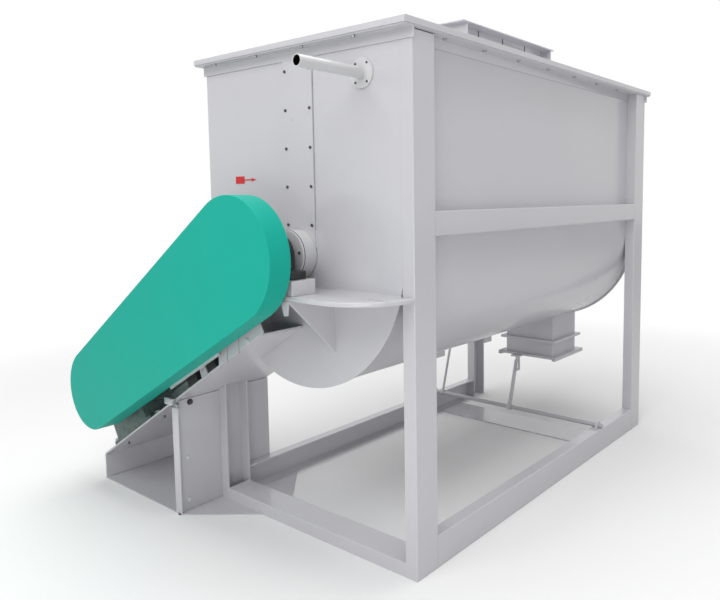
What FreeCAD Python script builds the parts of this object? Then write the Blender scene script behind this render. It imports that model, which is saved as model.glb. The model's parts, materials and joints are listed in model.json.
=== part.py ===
import FreeCAD, Part
import math
import operator
import os
from types import SimpleNamespace

import Sketcher
from FreeCAD import Placement, Rotation, Vector

# Driving dimensions in millimetres and degrees.
# X runs across the machine from its middle plane, Y runs back from the front faces of the legs
# and Z runs up from the floor. The finished pieces are shifted so that the middle of the
# machine's footprint is the origin.
SIZES = {
    # Frame of channel steel
    "frame_width": 1134,
    "frame_length": 2060,
    "leg_height": 1890,
    "channel_web": 120,
    "channel_flange": 53,
    "channel_web_wall": 5.5,
    "channel_root": 10.5,
    "channel_toe": 7.5,
    "middle_rail_web": 87,
    "middle_rail_bottom": 1203,
    "cross_plate_start": 1560,
    "cross_plate_width": 215,
    "floor_sheet": 6,
    "corner_plate_width": 274,
    "corner_plate_length": 278,
    # Trough
    "shaft_height": 1126,
    "shell_wall": 4,
    "end_wall": 8,
    "end_margin": 8,
    "shaft_slot_half": 46,
    "strip_left": 68,
    "strip_right": 92,
    "strip_thickness": 6,
    "strip_bolt_inset": 13,
    "strip_bolt_spacing": 145,
    "strip_bolt_first": 1236,
    "lug_length": 64,
    "lug_height": 62,
    "lug_thickness": 10,
    "lug_first": 857,
    "lug_second": 1284,
    # Rim and lid
    "rim_width": 45,
    "rim_wall": 5,
    "rim_drop": 35,
    "rim_end": 10,
    "lid_depth": 22,
    "lid_sheet": 4,
    "lid_overhang": 4,
    "lid_lip": 24,
    "lid_bolt_inset": 20,
    "lid_bolt_edge": 12,
    "lid_bolt_corner": 456,
    "lid_bolt_pitch_across": 264,
    "lid_bolt_pitch_along": 252,
    "lid_bolt_first": 205,
    "collar_start": 700,
    "collar_length": 750,
    "collar_width": 490,
    "collar_end_width": 600,
    "collar_height": 168,
    "collar_sheet": 5,
    "collar_flange": 30,
    "collar_slot_first": 866,
    "collar_slot_spacing": 205,
    "collar_slot_width": 9,
    "collar_slot_margin": 28,
    # Shaft, seals and bearings
    "shaft_diameter": 80,
    "fit_gap": 0.05,
    "seal_radius": 94,
    "seal_flange": 20,
    "seal_length": 60,
    "seal_groove": 6,
    "bearing_distance": 160,
    "pillow_foot_length": 350,
    "pillow_foot_width": 82,
    "pillow_foot_height": 28,
    "pillow_radius": 79,
    "pillow_width": 130,
    "pillow_bore_radius": 56,
    "bearing_ring_width": 140,
    "shaft_tail": 74,
    "pillow_bolt_offset": 113,
    "pillow_shaft_rise": 73,
    "spacer_length": 396,
    "spacer_width": 109,
    "spacer_height": 53,
    "shelf_depth": 225,
    "shelf_thickness": 16,
    "shelf_corner": 222,
    "shelf_slot_start": 440,
    "shelf_slot_length": 76,
    "shelf_slot_distance": 92,
    "shelf_slot_width": 16,
    "rear_shelf_width": 600,
    "gusset_offset": 183,
    "gusset_depth": 215,
    "gusset_drop": 221,
    "gusset_thickness": 10,
    # Rotor
    "ribbon_gap": 10,
    "ribbon_end_gap": 36,
    "ribbon_thickness": 8,
    "outer_ribbon_width": 60,
    "inner_ribbon_radius": 300,
    "inner_ribbon_width": 60,
    "spoke_radius": 14,
    # Chain drive
    "chain_pitch": 38.1,
    "chain_links": 92,
    "big_teeth": 30,
    "small_teeth": 23,
    "drive_angle": 31.1,
    "drive_plane": 285,
    "roller_radius": 11,
    "tooth_width": 22,
    "chain_inner_width": 26,
    "link_thickness": 5,
    "link_half_height": 17,
    "big_hub_radius": 68,
    "small_hub_radius": 58,
    "hub_length": 70,
    "output_shaft_diameter": 65,
    # Guard
    "guard_front": 330,
    "guard_rear": 240,
    "guard_sheet": 3,
    "guard_big_radius": 226,
    "guard_small_radius": 179,
    "guard_tab_width": 40,
    "guard_post_radius": 7,
    "guard_post_low": 148,
    "guard_post_high": 115,
    "guard_post_side": 90,
    # Gear motor
    "gearbox_front": 200,
    "gearbox_depth": 250,
    "gearbox_half_length": 150,
    "gearbox_top": 132,
    "motor_radius": 104,
    "motor_back_gap": 8,
    "motor_length": 470,
    "cowl_length": 130,
    "motor_drop": 60,
    "motor_flange_thickness": 22,
    "foot_thickness": 18,
    "foot_overhang": 40,
    # Stand
    "stand_left": 1191,
    "stand_front": 212,
    "stand_back": 270,
    "stand_sheet": 6,
    "motor_plate_thickness": 8,
    "motor_plate_end": 5,
    "axis_over_plate": 242,
    "cheek_bar_width": 44,
    "cheek_bar_overlap": 14,
    "rail_bar_height": 52,
    "rail_bar_start": 236,
    "rail_bar_end": 40,
    # Outlet and slide gate
    "outlet_left": 103,
    "outlet_right": 200,
    "outlet_start": 1683,
    "outlet_end": 1966,
    "outlet_sheet": 4,
    "outlet_joint_height": 505,
    "outlet_joint_flange": 25,
    "outlet_joint_thickness": 14,
    "outlet_bottom": 420,
    "outlet_flange": 35,
    "gate_thickness": 7,
    "gate_play": 0.5,
    "guide_lip": 14,
    "guide_wall": 6,
    "rock_shaft_distance": 1545,
    "rock_rod_radius": 11,
    "running_gap": 0.3,
    "arm_length": 262,
    "arm_lean": 16.7,
    "arm_half_width": 11,
    "arm_thickness": 12,
    "arm_pin_radius": 6,
    "lug_slot_half": 10,
    "gate_lug_thickness": 8,
    "lever_offset": 480,
    "lever_length": 640,
    "lever_radius": 7,
    # Liquid pipe and arrow
    "pipe_offset": 343,
    "pipe_height": 1767,
    "pipe_radius": 20,
    "pipe_wall": 3,
    "pipe_reach": 296,
    "pipe_flange_radius": 53,
    "pipe_flange_thickness": 6,
    "arrow_left": 385,
    "arrow_right": 251,
    "arrow_height": 1414,
    "arrow_block_width": 58,
    "arrow_block_height": 30,
    # Fasteners
    "bolt_flats": 10,
    "bolt_head": 4,
    "nut_flats": 13,
    "nut_height": 7,
    "large_bolt_flats": 32,
    "large_bolt_head": 14,
}

OPERATIONS = {"+": operator.add, "-": operator.sub, "*": operator.mul, "/": operator.truediv}

document = FreeCAD.newDocument("feed_mixer")
sheet = document.addObject("Spreadsheet::Sheet", "sizes")
for row, (word, number) in enumerate(SIZES.items(), start=1):
    sheet.set(f"A{row}", word)
    sheet.set(f"B{row}", str(number))
    sheet.setAlias(f"B{row}", word)
document.recompute()


class Size:
    """A number that also carries the spreadsheet formula behind it."""

    def __init__(self, value, formula):
        self.value = value
        self.formula = formula

    def __add__(self, other):
        return combine(self, "+", other)

    def __radd__(self, other):
        return combine(other, "+", self)

    def __sub__(self, other):
        return combine(self, "-", other)

    def __rsub__(self, other):
        return combine(other, "-", self)

    def __mul__(self, other):
        return combine(self, "*", other)

    def __rmul__(self, other):
        return combine(other, "*", self)

    def __truediv__(self, other):
        return combine(self, "/", other)

    def __rtruediv__(self, other):
        return combine(other, "/", self)

    def __neg__(self):
        return combine(0, "-", self)


def as_size(number):
    """A plain number written as a Size."""
    if isinstance(number, Size):
        return number
    return Size(float(number), repr(float(number)))


def combine(first, sign, second):
    """Two sizes joined by one arithmetic sign."""
    first = as_size(first)
    second = as_size(second)
    value = OPERATIONS[sign](first.value, second.value)
    return Size(value, f"({first.formula} {sign} {second.formula})")


def sine(angle):
    """Sine of an angle in degrees."""
    angle = as_size(angle)
    return Size(math.sin(math.radians(angle.value)), f"sin({angle.formula} * 1 deg)")


def cosine(angle):
    """Cosine of an angle in degrees."""
    angle = as_size(angle)
    return Size(math.cos(math.radians(angle.value)), f"cos({angle.formula} * 1 deg)")


def square_root(number):
    """Square root of a size."""
    return Size(math.sqrt(number.value), f"sqrt({number.formula})")


size = SimpleNamespace(
    **{word: Size(float(number), f"sizes.{word}") for word, number in SIZES.items()}
)

# Places that several pieces share
half_frame = size.frame_width / 2
trough_half = half_frame - size.channel_flange
trough_inner = trough_half - size.shell_wall
end_radius = trough_half + size.end_margin
rear_face = size.frame_length
rim_top = size.leg_height + size.rim_wall
lid_top = rim_top + size.lid_depth
rim_half = half_frame + size.rim_end
lid_half = rim_half + size.lid_overhang
lid_front = -size.rim_width - size.lid_overhang
lid_rear = rear_face - lid_front
shaft_radius = size.shaft_diameter / 2
shelf_top = size.shaft_height - size.pillow_shaft_rise - size.spacer_height
shelf_bottom = shelf_top - size.shelf_thickness
shelf_middle = shelf_top - size.shelf_thickness / 2
slope_cosine = cosine(size.drive_angle)
slope_sine = sine(size.drive_angle)
slope_rise = slope_sine / slope_cosine

# Centre distance of the two sprockets for a whole number of links
mean_teeth = (size.big_teeth + size.small_teeth) / 2
free_links = size.chain_links - mean_teeth
teeth_part = (size.big_teeth - size.small_teeth) / (2 * math.pi)
drive_distance = size.chain_pitch / 4 * (
    free_links + square_root(free_links * free_links - 8 * teeth_part * teeth_part)
)
small_x = -drive_distance * slope_cosine
small_z = size.shaft_height - drive_distance * slope_sine
big_pitch_radius = size.chain_pitch / (2 * sine(180 / size.big_teeth))
small_pitch_radius = size.chain_pitch / (2 * sine(180 / size.small_teeth))

# The machine's footprint, whose middle is the origin
left_end = small_x - size.guard_small_radius
right_end = lid_half
front_end = -size.guard_front
back_end = rear_face + size.bearing_distance + size.shaft_tail
origin_x = -(left_end + right_end) / 2
origin_y = -(front_end + back_end) / 2

sub_parts = []


def bind(item, name, amount):
    """Tie one property of an object to the spreadsheet."""
    item.setExpression(name, as_size(amount).formula)


def place(item, x=0, y=0, z=0, rotation=None):
    """Put an object at a point of the machine, turned by a rotation."""
    item.Placement = Placement(Vector(0, 0, 0), rotation or Rotation())
    item.setExpression("Placement.Base.x", (x + origin_x).formula)
    item.setExpression("Placement.Base.y", (y + origin_y).formula)
    item.setExpression("Placement.Base.z", as_size(z).formula)


def keep(item, name):
    """Name a finished piece, so that it is checked and written."""
    item.Label = name
    sub_parts.append(item)
    return item


def new_body(name, x=0, y=0, z=0, rotation=None):
    """A body that becomes one piece of the machine."""
    body = document.addObject("PartDesign::Body", name)
    place(body, x, y, z, rotation)
    return keep(body, name)


class Arc:
    """Says that the edge between two corners of an outline is an arc round this centre."""

    def __init__(self, x, y, radius, clockwise=False):
        self.x = as_size(x)
        self.y = as_size(y)
        self.radius = as_size(radius)
        self.clockwise = clockwise


class Circle:
    """A full circle in a sketch."""

    def __init__(self, x, y, radius):
        self.x = as_size(x)
        self.y = as_size(y)
        self.radius = as_size(radius)


def rectangle(left, bottom, right, top):
    """The corners of an upright rectangle."""
    return [(left, bottom), (right, bottom), (right, top), (left, top)]


def add_circle(sketch, circle):
    """Draw one circle with its centre and radius tied to the spreadsheet."""
    centre = Vector(circle.x.value, circle.y.value, 0)
    edge = sketch.addGeometry(Part.Circle(centre, Vector(0, 0, 1), circle.radius.value))
    measures = [circle.x, circle.y, circle.radius]
    indexes = sketch.addConstraint([
        Sketcher.Constraint("DistanceX", -1, 1, edge, 3, circle.x.value),
        Sketcher.Constraint("DistanceY", -1, 1, edge, 3, circle.y.value),
        Sketcher.Constraint("Radius", edge, circle.radius.value),
    ])
    bind_constraints(sketch, indexes, measures)


def bind_constraints(sketch, indexes, measures):
    """Tie the sketch's dimensions to their formulas."""
    for index, measure in zip(indexes, measures):
        if measure is not None and "sizes." in measure.formula:
            sketch.setExpression(f"Constraints[{index}]", measure.formula)


def outline_edge(start, arc, end):
    """The line or arc between two corners, and which of its ends comes first."""
    first = Vector(start[0].value, start[1].value, 0)
    last = Vector(end[0].value, end[1].value, 0)
    if arc is None:
        return Part.LineSegment(first, last), 1, 2
    centre = Vector(arc.x.value, arc.y.value, 0)
    circle = Part.Circle(centre, Vector(0, 0, 1), arc.radius.value)
    begin = last if arc.clockwise else first
    finish = first if arc.clockwise else last
    first_angle = math.atan2(begin.y - centre.y, begin.x - centre.x)
    last_angle = math.atan2(finish.y - centre.y, finish.x - centre.x)
    if last_angle <= first_angle:
        last_angle += 2 * math.pi
    edge = Part.ArcOfCircle(circle, first_angle, last_angle)
    return (edge, 2, 1) if arc.clockwise else (edge, 1, 2)


def add_outline(sketch, steps):
    """Draw a closed outline of corners, with an Arc between two corners where it is round."""
    corners = [tuple(as_size(part) for part in step) for step in steps if not isinstance(step, Arc)]
    arcs = [None] * len(corners)
    passed = 0
    for step in steps:
        if isinstance(step, Arc):
            arcs[passed - 1] = step
        else:
            passed += 1
    count = len(corners)
    edges = [outline_edge(corners[i], arcs[i], corners[(i + 1) % count]) for i in range(count)]
    numbers = sketch.addGeometry([edge for edge, first, last in edges])
    constraints = []
    measures = []
    for i, number in enumerate(numbers):
        after = (i + 1) % count
        first = edges[i][1]
        constraints.append(Sketcher.Constraint("DistanceX", -1, 1, number, first, corners[i][0].value))
        constraints.append(Sketcher.Constraint("DistanceY", -1, 1, number, first, corners[i][1].value))
        constraints.append(
            Sketcher.Constraint("Coincident", number, edges[i][2], numbers[after], edges[after][1])
        )
        measures += [corners[i][0], corners[i][1], None]
        if arcs[i] is not None:
            wide = abs(corners[after][0].value - corners[i][0].value)
            tall = abs(corners[after][1].value - corners[i][1].value)
            way, centre = ("DistanceY", arcs[i].y) if wide > tall else ("DistanceX", arcs[i].x)
            constraints.append(Sketcher.Constraint(way, -1, 1, number, 3, centre.value))
            measures.append(centre)
    bind_constraints(sketch, sketch.addConstraint(constraints), measures)


def new_sketch(body, plane, outlines, height=0):
    """A sketch on one of the body's own planes, moved along the plane's normal."""
    sketch = body.newObject("Sketcher::SketchObject", "Outline")
    support = next(item for item in body.Origin.OriginFeatures if item.Role == f"{plane}_Plane")
    sketch.AttachmentSupport = [(support, "")]
    sketch.MapMode = "FlatFace"
    bind(sketch, "AttachmentOffset.Base.z", height)
    for shape in outlines:
        if isinstance(shape, Circle):
            add_circle(sketch, shape)
        else:
            add_outline(sketch, shape)
    return sketch


def pad(body, plane, outlines, start, end):
    """Add a prism on an outline, from one coordinate to another along the plane's axis."""
    start = as_size(start)
    end = as_size(end)
    facing_front = plane == "XZ"
    sketch = new_sketch(body, plane, outlines, -start if facing_front else start)
    feature = body.newObject("PartDesign::Pad", "Pad")
    feature.Profile = sketch
    feature.Reversed = facing_front
    bind(feature, "Length", end - start)
    body.Tip = feature
    return feature


def pocket(body, plane, outlines, start, end):
    """Cut a prism on an outline, from one coordinate to another along the plane's axis."""
    start = as_size(start)
    end = as_size(end)
    facing_front = plane == "XZ"
    sketch = new_sketch(body, plane, outlines, -start if facing_front else end)
    feature = body.newObject("PartDesign::Pocket", "Pocket")
    feature.Profile = sketch
    bind(feature, "Length", end - start)
    body.Tip = feature
    return feature


def revolve(body, outline):
    """Turn an outline of (radius, height) corners about the body's own upright axis."""
    sketch = new_sketch(body, "XZ", [outline])
    feature = body.newObject("PartDesign::Revolution", "Revolution")
    feature.Profile = sketch
    feature.ReferenceAxis = (sketch, ["V_Axis"])
    feature.Angle = 360
    body.Tip = feature
    return feature


def round_edges(body, radius, wanted):
    """Fillet the edges of the body's last feature that the test picks."""
    document.recompute()
    base = body.Tip
    names = [f"Edge{i}" for i, edge in enumerate(base.Shape.Edges, start=1) if wanted(edge)]
    feature = body.newObject("PartDesign::Fillet", "Fillet")
    feature.Base = (base, names)
    bind(feature, "Radius", radius)
    body.Tip = feature
    return feature


def repeat_round(body, feature, axis, count):
    """Repeat a feature of the body evenly round one of its own axes."""
    pattern = body.newObject("PartDesign::PolarPattern", "PolarPattern")
    pattern.Originals = [feature]
    line = next(item for item in body.Origin.OriginFeatures if item.Role == f"{axis}_Axis")
    pattern.Axis = (line, [""])
    pattern.Angle = 360
    bind(pattern, "Occurrences", count)
    body.Tip = pattern
    return pattern


UPRIGHT_TO_REAR = Rotation(Vector(1, 0, 0), -90)
SIDEWAYS_LEFT = Rotation(Vector(0, 1, 0), -90)
HALF_TURN = Rotation(Vector(0, 0, 1), 180)
FACING_FRONT = Rotation(Vector(1, 0, 0), 90)
SLOPE_TURN = Rotation(Vector(0, 1, 0), -SIZES["drive_angle"])


def channel_outline(web):
    """Hot-rolled channel: the web's outer face on Y, the flanges pointing to -X."""
    half = web / 2
    return [
        (0, -half),
        (0, half),
        (-size.channel_flange, half),
        (-size.channel_flange, half - size.channel_toe),
        (-size.channel_web_wall, half - size.channel_root),
        (-size.channel_web_wall, size.channel_root - half),
        (-size.channel_flange, size.channel_toe - half),
        (-size.channel_flange, -half),
    ]


def channel(name, web, length, x, y, z, rotation):
    """One length of channel steel, drawn upright and then turned into place."""
    body = new_body(name, x, y, z, rotation)
    pad(body, "XY", [channel_outline(web)], 0, length)
    return body


def make_frame():
    """Four legs, the base rails, the two middle rails and the cross plate."""
    web = size.channel_web
    for end, y in (("front", web / 2), ("rear", rear_face - web / 2)):
        channel(f"leg_{end}_right", web, size.leg_height, half_frame, y, 0, Rotation())
        channel(f"leg_{end}_left", web, size.leg_height, -half_frame, y, 0, HALF_TURN)
    between_legs = size.frame_length - 2 * web
    left_turn = HALF_TURN.multiply(UPRIGHT_TO_REAR)
    channel("base_rail_right", web, between_legs, half_frame, web, web / 2, UPRIGHT_TO_REAR)
    channel("base_rail_left", web, between_legs, -half_frame, rear_face - web, web / 2, left_turn)
    middle = size.middle_rail_bottom + size.middle_rail_web / 2
    middle_web = size.middle_rail_web
    channel("middle_rail_right", middle_web, between_legs, half_frame, web, middle, UPRIGHT_TO_REAR)
    channel("middle_rail_left", middle_web, between_legs, -half_frame, rear_face - web, middle, left_turn)
    span = 2 * trough_half
    channel("base_rail_front", web, span, trough_half, web / 2, size.channel_flange, SIDEWAYS_LEFT)
    start = size.cross_plate_start
    plate = new_body("cross_plate")
    strip = rectangle(-trough_half, start, trough_half, start + size.cross_plate_width)
    pad(plate, "XY", [strip], 0, size.floor_sheet)
    corner = new_body("corner_plate")
    inner_corner = [
        (-trough_half, web),
        (size.corner_plate_width - trough_half, web),
        (-trough_half, web + size.corner_plate_length),
    ]
    pad(corner, "XY", [inner_corner], 0, size.floor_sheet)


def trough_outline(half_width, radius, top):
    """U shape: straight sides down to an arc round the shaft."""
    shoulder = size.shaft_height - square_root(radius * radius - half_width * half_width)
    return [
        (half_width, top),
        (-half_width, top),
        (-half_width, shoulder),
        Arc(0, size.shaft_height, radius),
        (half_width, shoulder),
    ]


def make_trough_shell():
    """Rolled sheet of the trough, with the outlet cut through its bottom."""
    shell = new_body("trough_shell")
    inside = [
        (trough_inner, rim_top + size.shell_wall),
        (-trough_inner, rim_top + size.shell_wall),
        (-trough_inner, size.shaft_height),
        Arc(0, size.shaft_height, trough_inner),
        (trough_inner, size.shaft_height),
    ]
    outside = [
        (trough_half, rim_top),
        (-trough_half, rim_top),
        (-trough_half, size.shaft_height),
        Arc(0, size.shaft_height, trough_half),
        (trough_half, size.shaft_height),
    ]
    start = size.end_wall
    end = rear_face - size.end_wall
    pad(shell, "XZ", [outside], start, end)
    pocket(shell, "XZ", [inside], start, end)
    hole = rectangle(
        size.outlet_sheet - size.outlet_left,
        size.outlet_start + size.outlet_sheet,
        size.outlet_right - size.outlet_sheet,
        size.outlet_end - size.outlet_sheet,
    )
    pocket(shell, "XY", [hole], size.outlet_bottom, size.shaft_height - shaft_radius)


def make_end_plate(name, start, pipe_hole):
    """End plate with the slot that lets the rotor be lifted out."""
    plate = new_body(name)
    end = start + size.end_wall
    pad(plate, "XZ", [trough_outline(trough_half, end_radius, rim_top)], start, end)
    slot = [
        (size.shaft_slot_half, rim_top + size.end_wall),
        (-size.shaft_slot_half, rim_top + size.end_wall),
        (-size.shaft_slot_half, size.shaft_height),
        Arc(0, size.shaft_height, size.shaft_slot_half),
        (size.shaft_slot_half, size.shaft_height),
    ]
    pocket(plate, "XZ", [slot], start, end)
    if pipe_hole:
        bore = Circle(size.pipe_offset, size.pipe_height, size.pipe_radius + size.running_gap)
        pocket(plate, "XZ", [bore], start, end)


def strip_outline():
    """Cover strip from the rim down to the seal, whose edge it follows."""
    left = size.strip_left
    right = size.strip_right
    reach = size.seal_radius + size.running_gap
    left_foot = size.shaft_height + square_root(reach * reach - left * left)
    right_foot = size.shaft_height + square_root(reach * reach - right * right)
    top = size.leg_height - size.rim_drop
    return [
        (right, top),
        (-left, top),
        (-left, left_foot),
        Arc(0, size.shaft_height, reach, clockwise=True),
        (right, right_foot),
    ]


def make_cover_strips():
    """Strips that close the slots of the two end plates."""
    strips = new_body("cover_strips")
    pad(strips, "XZ", [strip_outline()], -size.strip_thickness, 0)
    pad(strips, "XZ", [strip_outline()], rear_face, rear_face + size.strip_thickness)


def make_trough_lugs():
    """Two plates that hang under the middle of the trough."""
    lugs = []
    for start in (size.lug_first, size.lug_second):
        lug = document.addObject("Part::Box", "Lug")
        bind(lug, "Length", size.lug_thickness)
        bind(lug, "Width", size.lug_length)
        bind(lug, "Height", size.lug_height)
        bottom = size.shaft_height - trough_half - size.lug_height
        place(lug, -size.lug_thickness / 2, start, bottom)
        lugs.append(lug)
    group(lugs, "trough_lugs")


def group(items, name):
    """Several separate solids of one kind in one piece."""
    compound = document.addObject("Part::Compound", name)
    compound.Links = items
    return keep(compound, name)


def make_rim():
    """Ring of angle steel round the top of the trough."""
    rim = new_body("rim_frame")
    ring = rectangle(-rim_half, -size.rim_width, rim_half, rear_face + size.rim_width)
    inner = rectangle(-trough_half, 0, trough_half, rear_face)
    pad(rim, "XY", [ring, inner], size.leg_height, rim_top)
    drops = [
        rectangle(-rim_half, -size.rim_wall, rim_half, 0),
        rectangle(-rim_half, rear_face, rim_half, rear_face + size.rim_wall),
        rectangle(trough_half, size.channel_web, trough_half + size.rim_wall, rear_face - size.channel_web),
        rectangle(-trough_half - size.rim_wall, size.channel_web, -trough_half, rear_face - size.channel_web),
    ]
    pad(rim, "XY", drops, size.leg_height - size.rim_drop, size.leg_height)


def make_lid():
    """Folded lid: top sheet, skirt and the lip turned in to rest on the rim."""
    lid = new_body("lid_cover")
    sheet_wall = size.lid_sheet
    outer = rectangle(-lid_half, lid_front, lid_half, lid_rear)
    collar_half = size.collar_width / 2
    collar_end = size.collar_start + size.collar_length
    mouth = rectangle(
        size.collar_sheet - collar_half,
        size.collar_start + size.collar_sheet,
        collar_half - size.collar_sheet,
        collar_end - size.collar_sheet,
    )

    def inset(amount):
        return rectangle(amount - lid_half, lid_front + amount, lid_half - amount, lid_rear - amount)

    pad(lid, "XY", [outer, mouth], lid_top - sheet_wall, lid_top)
    pad(lid, "XY", [outer, inset(sheet_wall)], rim_top, lid_top - sheet_wall)
    pad(lid, "XY", [inset(sheet_wall / 2), inset(size.lid_lip)], rim_top, rim_top + sheet_wall)


def make_inlet_collar():
    """Filling collar: two wide end walls, two set-back sides and a top flange."""
    collar = new_body("inlet_collar")
    wall = size.collar_sheet
    half = size.collar_width / 2
    end_half = size.collar_end_width / 2
    start = size.collar_start
    end = start + size.collar_length
    top = lid_top + size.collar_height
    walls = [
        (-end_half, start),
        (end_half, start),
        (end_half, start + wall),
        (half, start + wall),
        (half, end - wall),
        (end_half, end - wall),
        (end_half, end),
        (-end_half, end),
        (-end_half, end - wall),
        (-half, end - wall),
        (-half, start + wall),
        (-end_half, start + wall),
    ]
    inside = rectangle(wall - half, start + wall, half - wall, end - wall)
    pad(collar, "XY", [walls, inside], lid_top, top)
    reach = size.collar_flange
    flange = rectangle(-end_half, start - reach, end_half, end + reach)
    pad(collar, "XY", [flange, inside], top - wall, top)
    slots = []
    slot_half = size.collar_slot_width / 2
    for number in range(3):
        along = size.collar_slot_first + number * size.collar_slot_spacing
        slots.append(rectangle(
            along - slot_half, lid_top + size.collar_slot_margin,
            along + slot_half, top - size.collar_slot_margin,
        ))
    pocket(collar, "YZ", slots, -half, half)


def hexagon(centre_x, centre_y, flats):
    """Corners of a hexagon with two flats upright."""
    reach = flats / math.sqrt(3)
    corners = []
    for corner in range(6):
        angle = math.radians(60 * corner + 30)
        corners.append((centre_x + reach * math.cos(angle), centre_y + reach * math.sin(angle)))
    return corners


def bolt_heads(name, plane, centres, start, end, flats):
    """Hexagon heads or nuts of one size, all seated on one plane."""
    body = new_body(name)
    pad(body, plane, [hexagon(x, y, flats) for x, y in centres], start, end)
    return body


def make_bolts():
    """Hexagon heads of the cover strip and nuts under the rim."""
    strip = []
    for row in range(5):
        height = size.strip_bolt_first + row * size.strip_bolt_spacing
        strip.append((size.strip_right - size.strip_bolt_inset, height))
        strip.append((size.strip_bolt_inset - size.strip_left, height))
    seat = -size.strip_thickness
    bolt_heads("strip_bolts", "XZ", strip, seat - size.bolt_head, seat, size.bolt_flats)
    nuts = []
    edge = size.rim_width - size.lid_bolt_edge
    for column in range(4):
        across = size.lid_bolt_pitch_across * column - size.lid_bolt_corner
        nuts.append((across, -edge))
        nuts.append((across, rear_face + edge))
    for row in range(7):
        along = size.lid_bolt_first + row * size.lid_bolt_pitch_along
        side = half_frame - size.lid_bolt_inset
        nuts += [(side, along), (-side, along)]
    bottom = size.leg_height - size.nut_height
    bolt_heads("lid_nuts", "XY", nuts, bottom, size.leg_height, size.nut_flats)


def make_seal(name, y, rotation):
    """Stuffing box: flange on the end plate, groove and gland ring."""
    seal = new_body(name, 0, y, size.shaft_height, rotation)
    bore = shaft_radius + size.fit_gap
    edge = size.seal_radius
    neck = edge - size.seal_groove
    gland = size.seal_flange + size.seal_groove
    revolve(seal, [
        (bore, 0),
        (edge, 0),
        (edge, size.seal_flange),
        (neck, size.seal_flange),
        (neck, gland),
        (edge, gland),
        (edge, size.seal_length),
        (bore, size.seal_length),
    ])


def make_pillow(name, centre_y):
    """Bearing housing with a slotted foot and a webbed round body."""
    pillow = new_body(name, 0, centre_y, size.shaft_height)
    foot_half = size.pillow_foot_length / 2
    bottom = -size.pillow_shaft_rise
    foot_top = bottom + size.pillow_foot_height
    depth = size.pillow_foot_width / 2
    pad(pillow, "XZ", [rectangle(-foot_half, bottom, foot_half, foot_top)], -depth, depth)
    half = size.pillow_width / 2
    edge = size.pillow_radius
    body_outline = [
        (edge, foot_top - size.pillow_foot_height / 2),
        (edge, 0),
        Arc(0, 0, edge),
        (-edge, 0),
        (-edge, foot_top - size.pillow_foot_height / 2),
    ]
    pad(pillow, "XZ", [body_outline], -half, half)
    pocket(pillow, "XZ", [Circle(0, 0, size.pillow_bore_radius)], -half, half)
    foot_corner = size.pillow_foot_height * 0.9

    def is_foot_corner(edge_found):
        box = edge_found.BoundBox
        upright = box.ZLength > foot_corner.value and box.XLength < 1 and box.YLength < 1
        return upright and abs(abs(box.Center.x) - foot_half.value) < 1

    round_edges(pillow, size.pillow_foot_width / 5, is_foot_corner)


def make_bearing_ring(name, centre_y):
    """Inner ring of the bearing, fixed on the shaft."""
    ring = new_body(name, 0, centre_y - size.bearing_ring_width / 2, size.shaft_height, UPRIGHT_TO_REAR)
    bore = shaft_radius + size.fit_gap
    shoulder = size.pillow_bore_radius - size.fit_gap
    collar = shaft_radius + (size.pillow_bore_radius - shaft_radius) * 0.7
    wide = size.bearing_ring_width
    step = (size.bearing_ring_width - size.pillow_width) / 2
    revolve(ring, [
        (bore, 0),
        (collar, 0),
        (collar, step),
        (shoulder, step),
        (shoulder, wide - step),
        (collar, wide - step),
        (collar, wide),
        (bore, wide),
    ])


def make_shelf(name, half_width, y, rotation, corner):
    """Bearing shelf with rounded outer corners."""
    shelf = new_body(name, 0, y, 0, rotation)
    depth = size.shelf_depth
    outline = [
        (half_width, 0),
        (-half_width, 0),
        (-half_width, corner - depth),
        Arc(corner - half_width, corner - depth, corner),
        (corner - half_width, -depth),
        (half_width - corner, -depth),
        Arc(half_width - corner, corner - depth, corner),
        (half_width, corner - depth),
    ]
    pad(shelf, "XY", [outline], shelf_bottom, shelf_top)
    return shelf


def make_gussets():
    """Pairs of triangular plates under the bearing shelves."""
    gussets = new_body("shelf_gussets")
    half = size.gusset_thickness / 2
    low = shelf_bottom - size.gusset_drop
    for wall, edge in ((0, -size.gusset_depth), (rear_face, rear_face + size.gusset_depth)):
        triangle = [
            (wall, shelf_bottom),
            (edge, shelf_bottom),
            (edge, shelf_bottom - size.gusset_thickness),
            (wall, low),
        ]
        for offset in (size.gusset_offset, -size.gusset_offset):
            pad(gussets, "YZ", [triangle], offset - half, offset + half)


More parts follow.
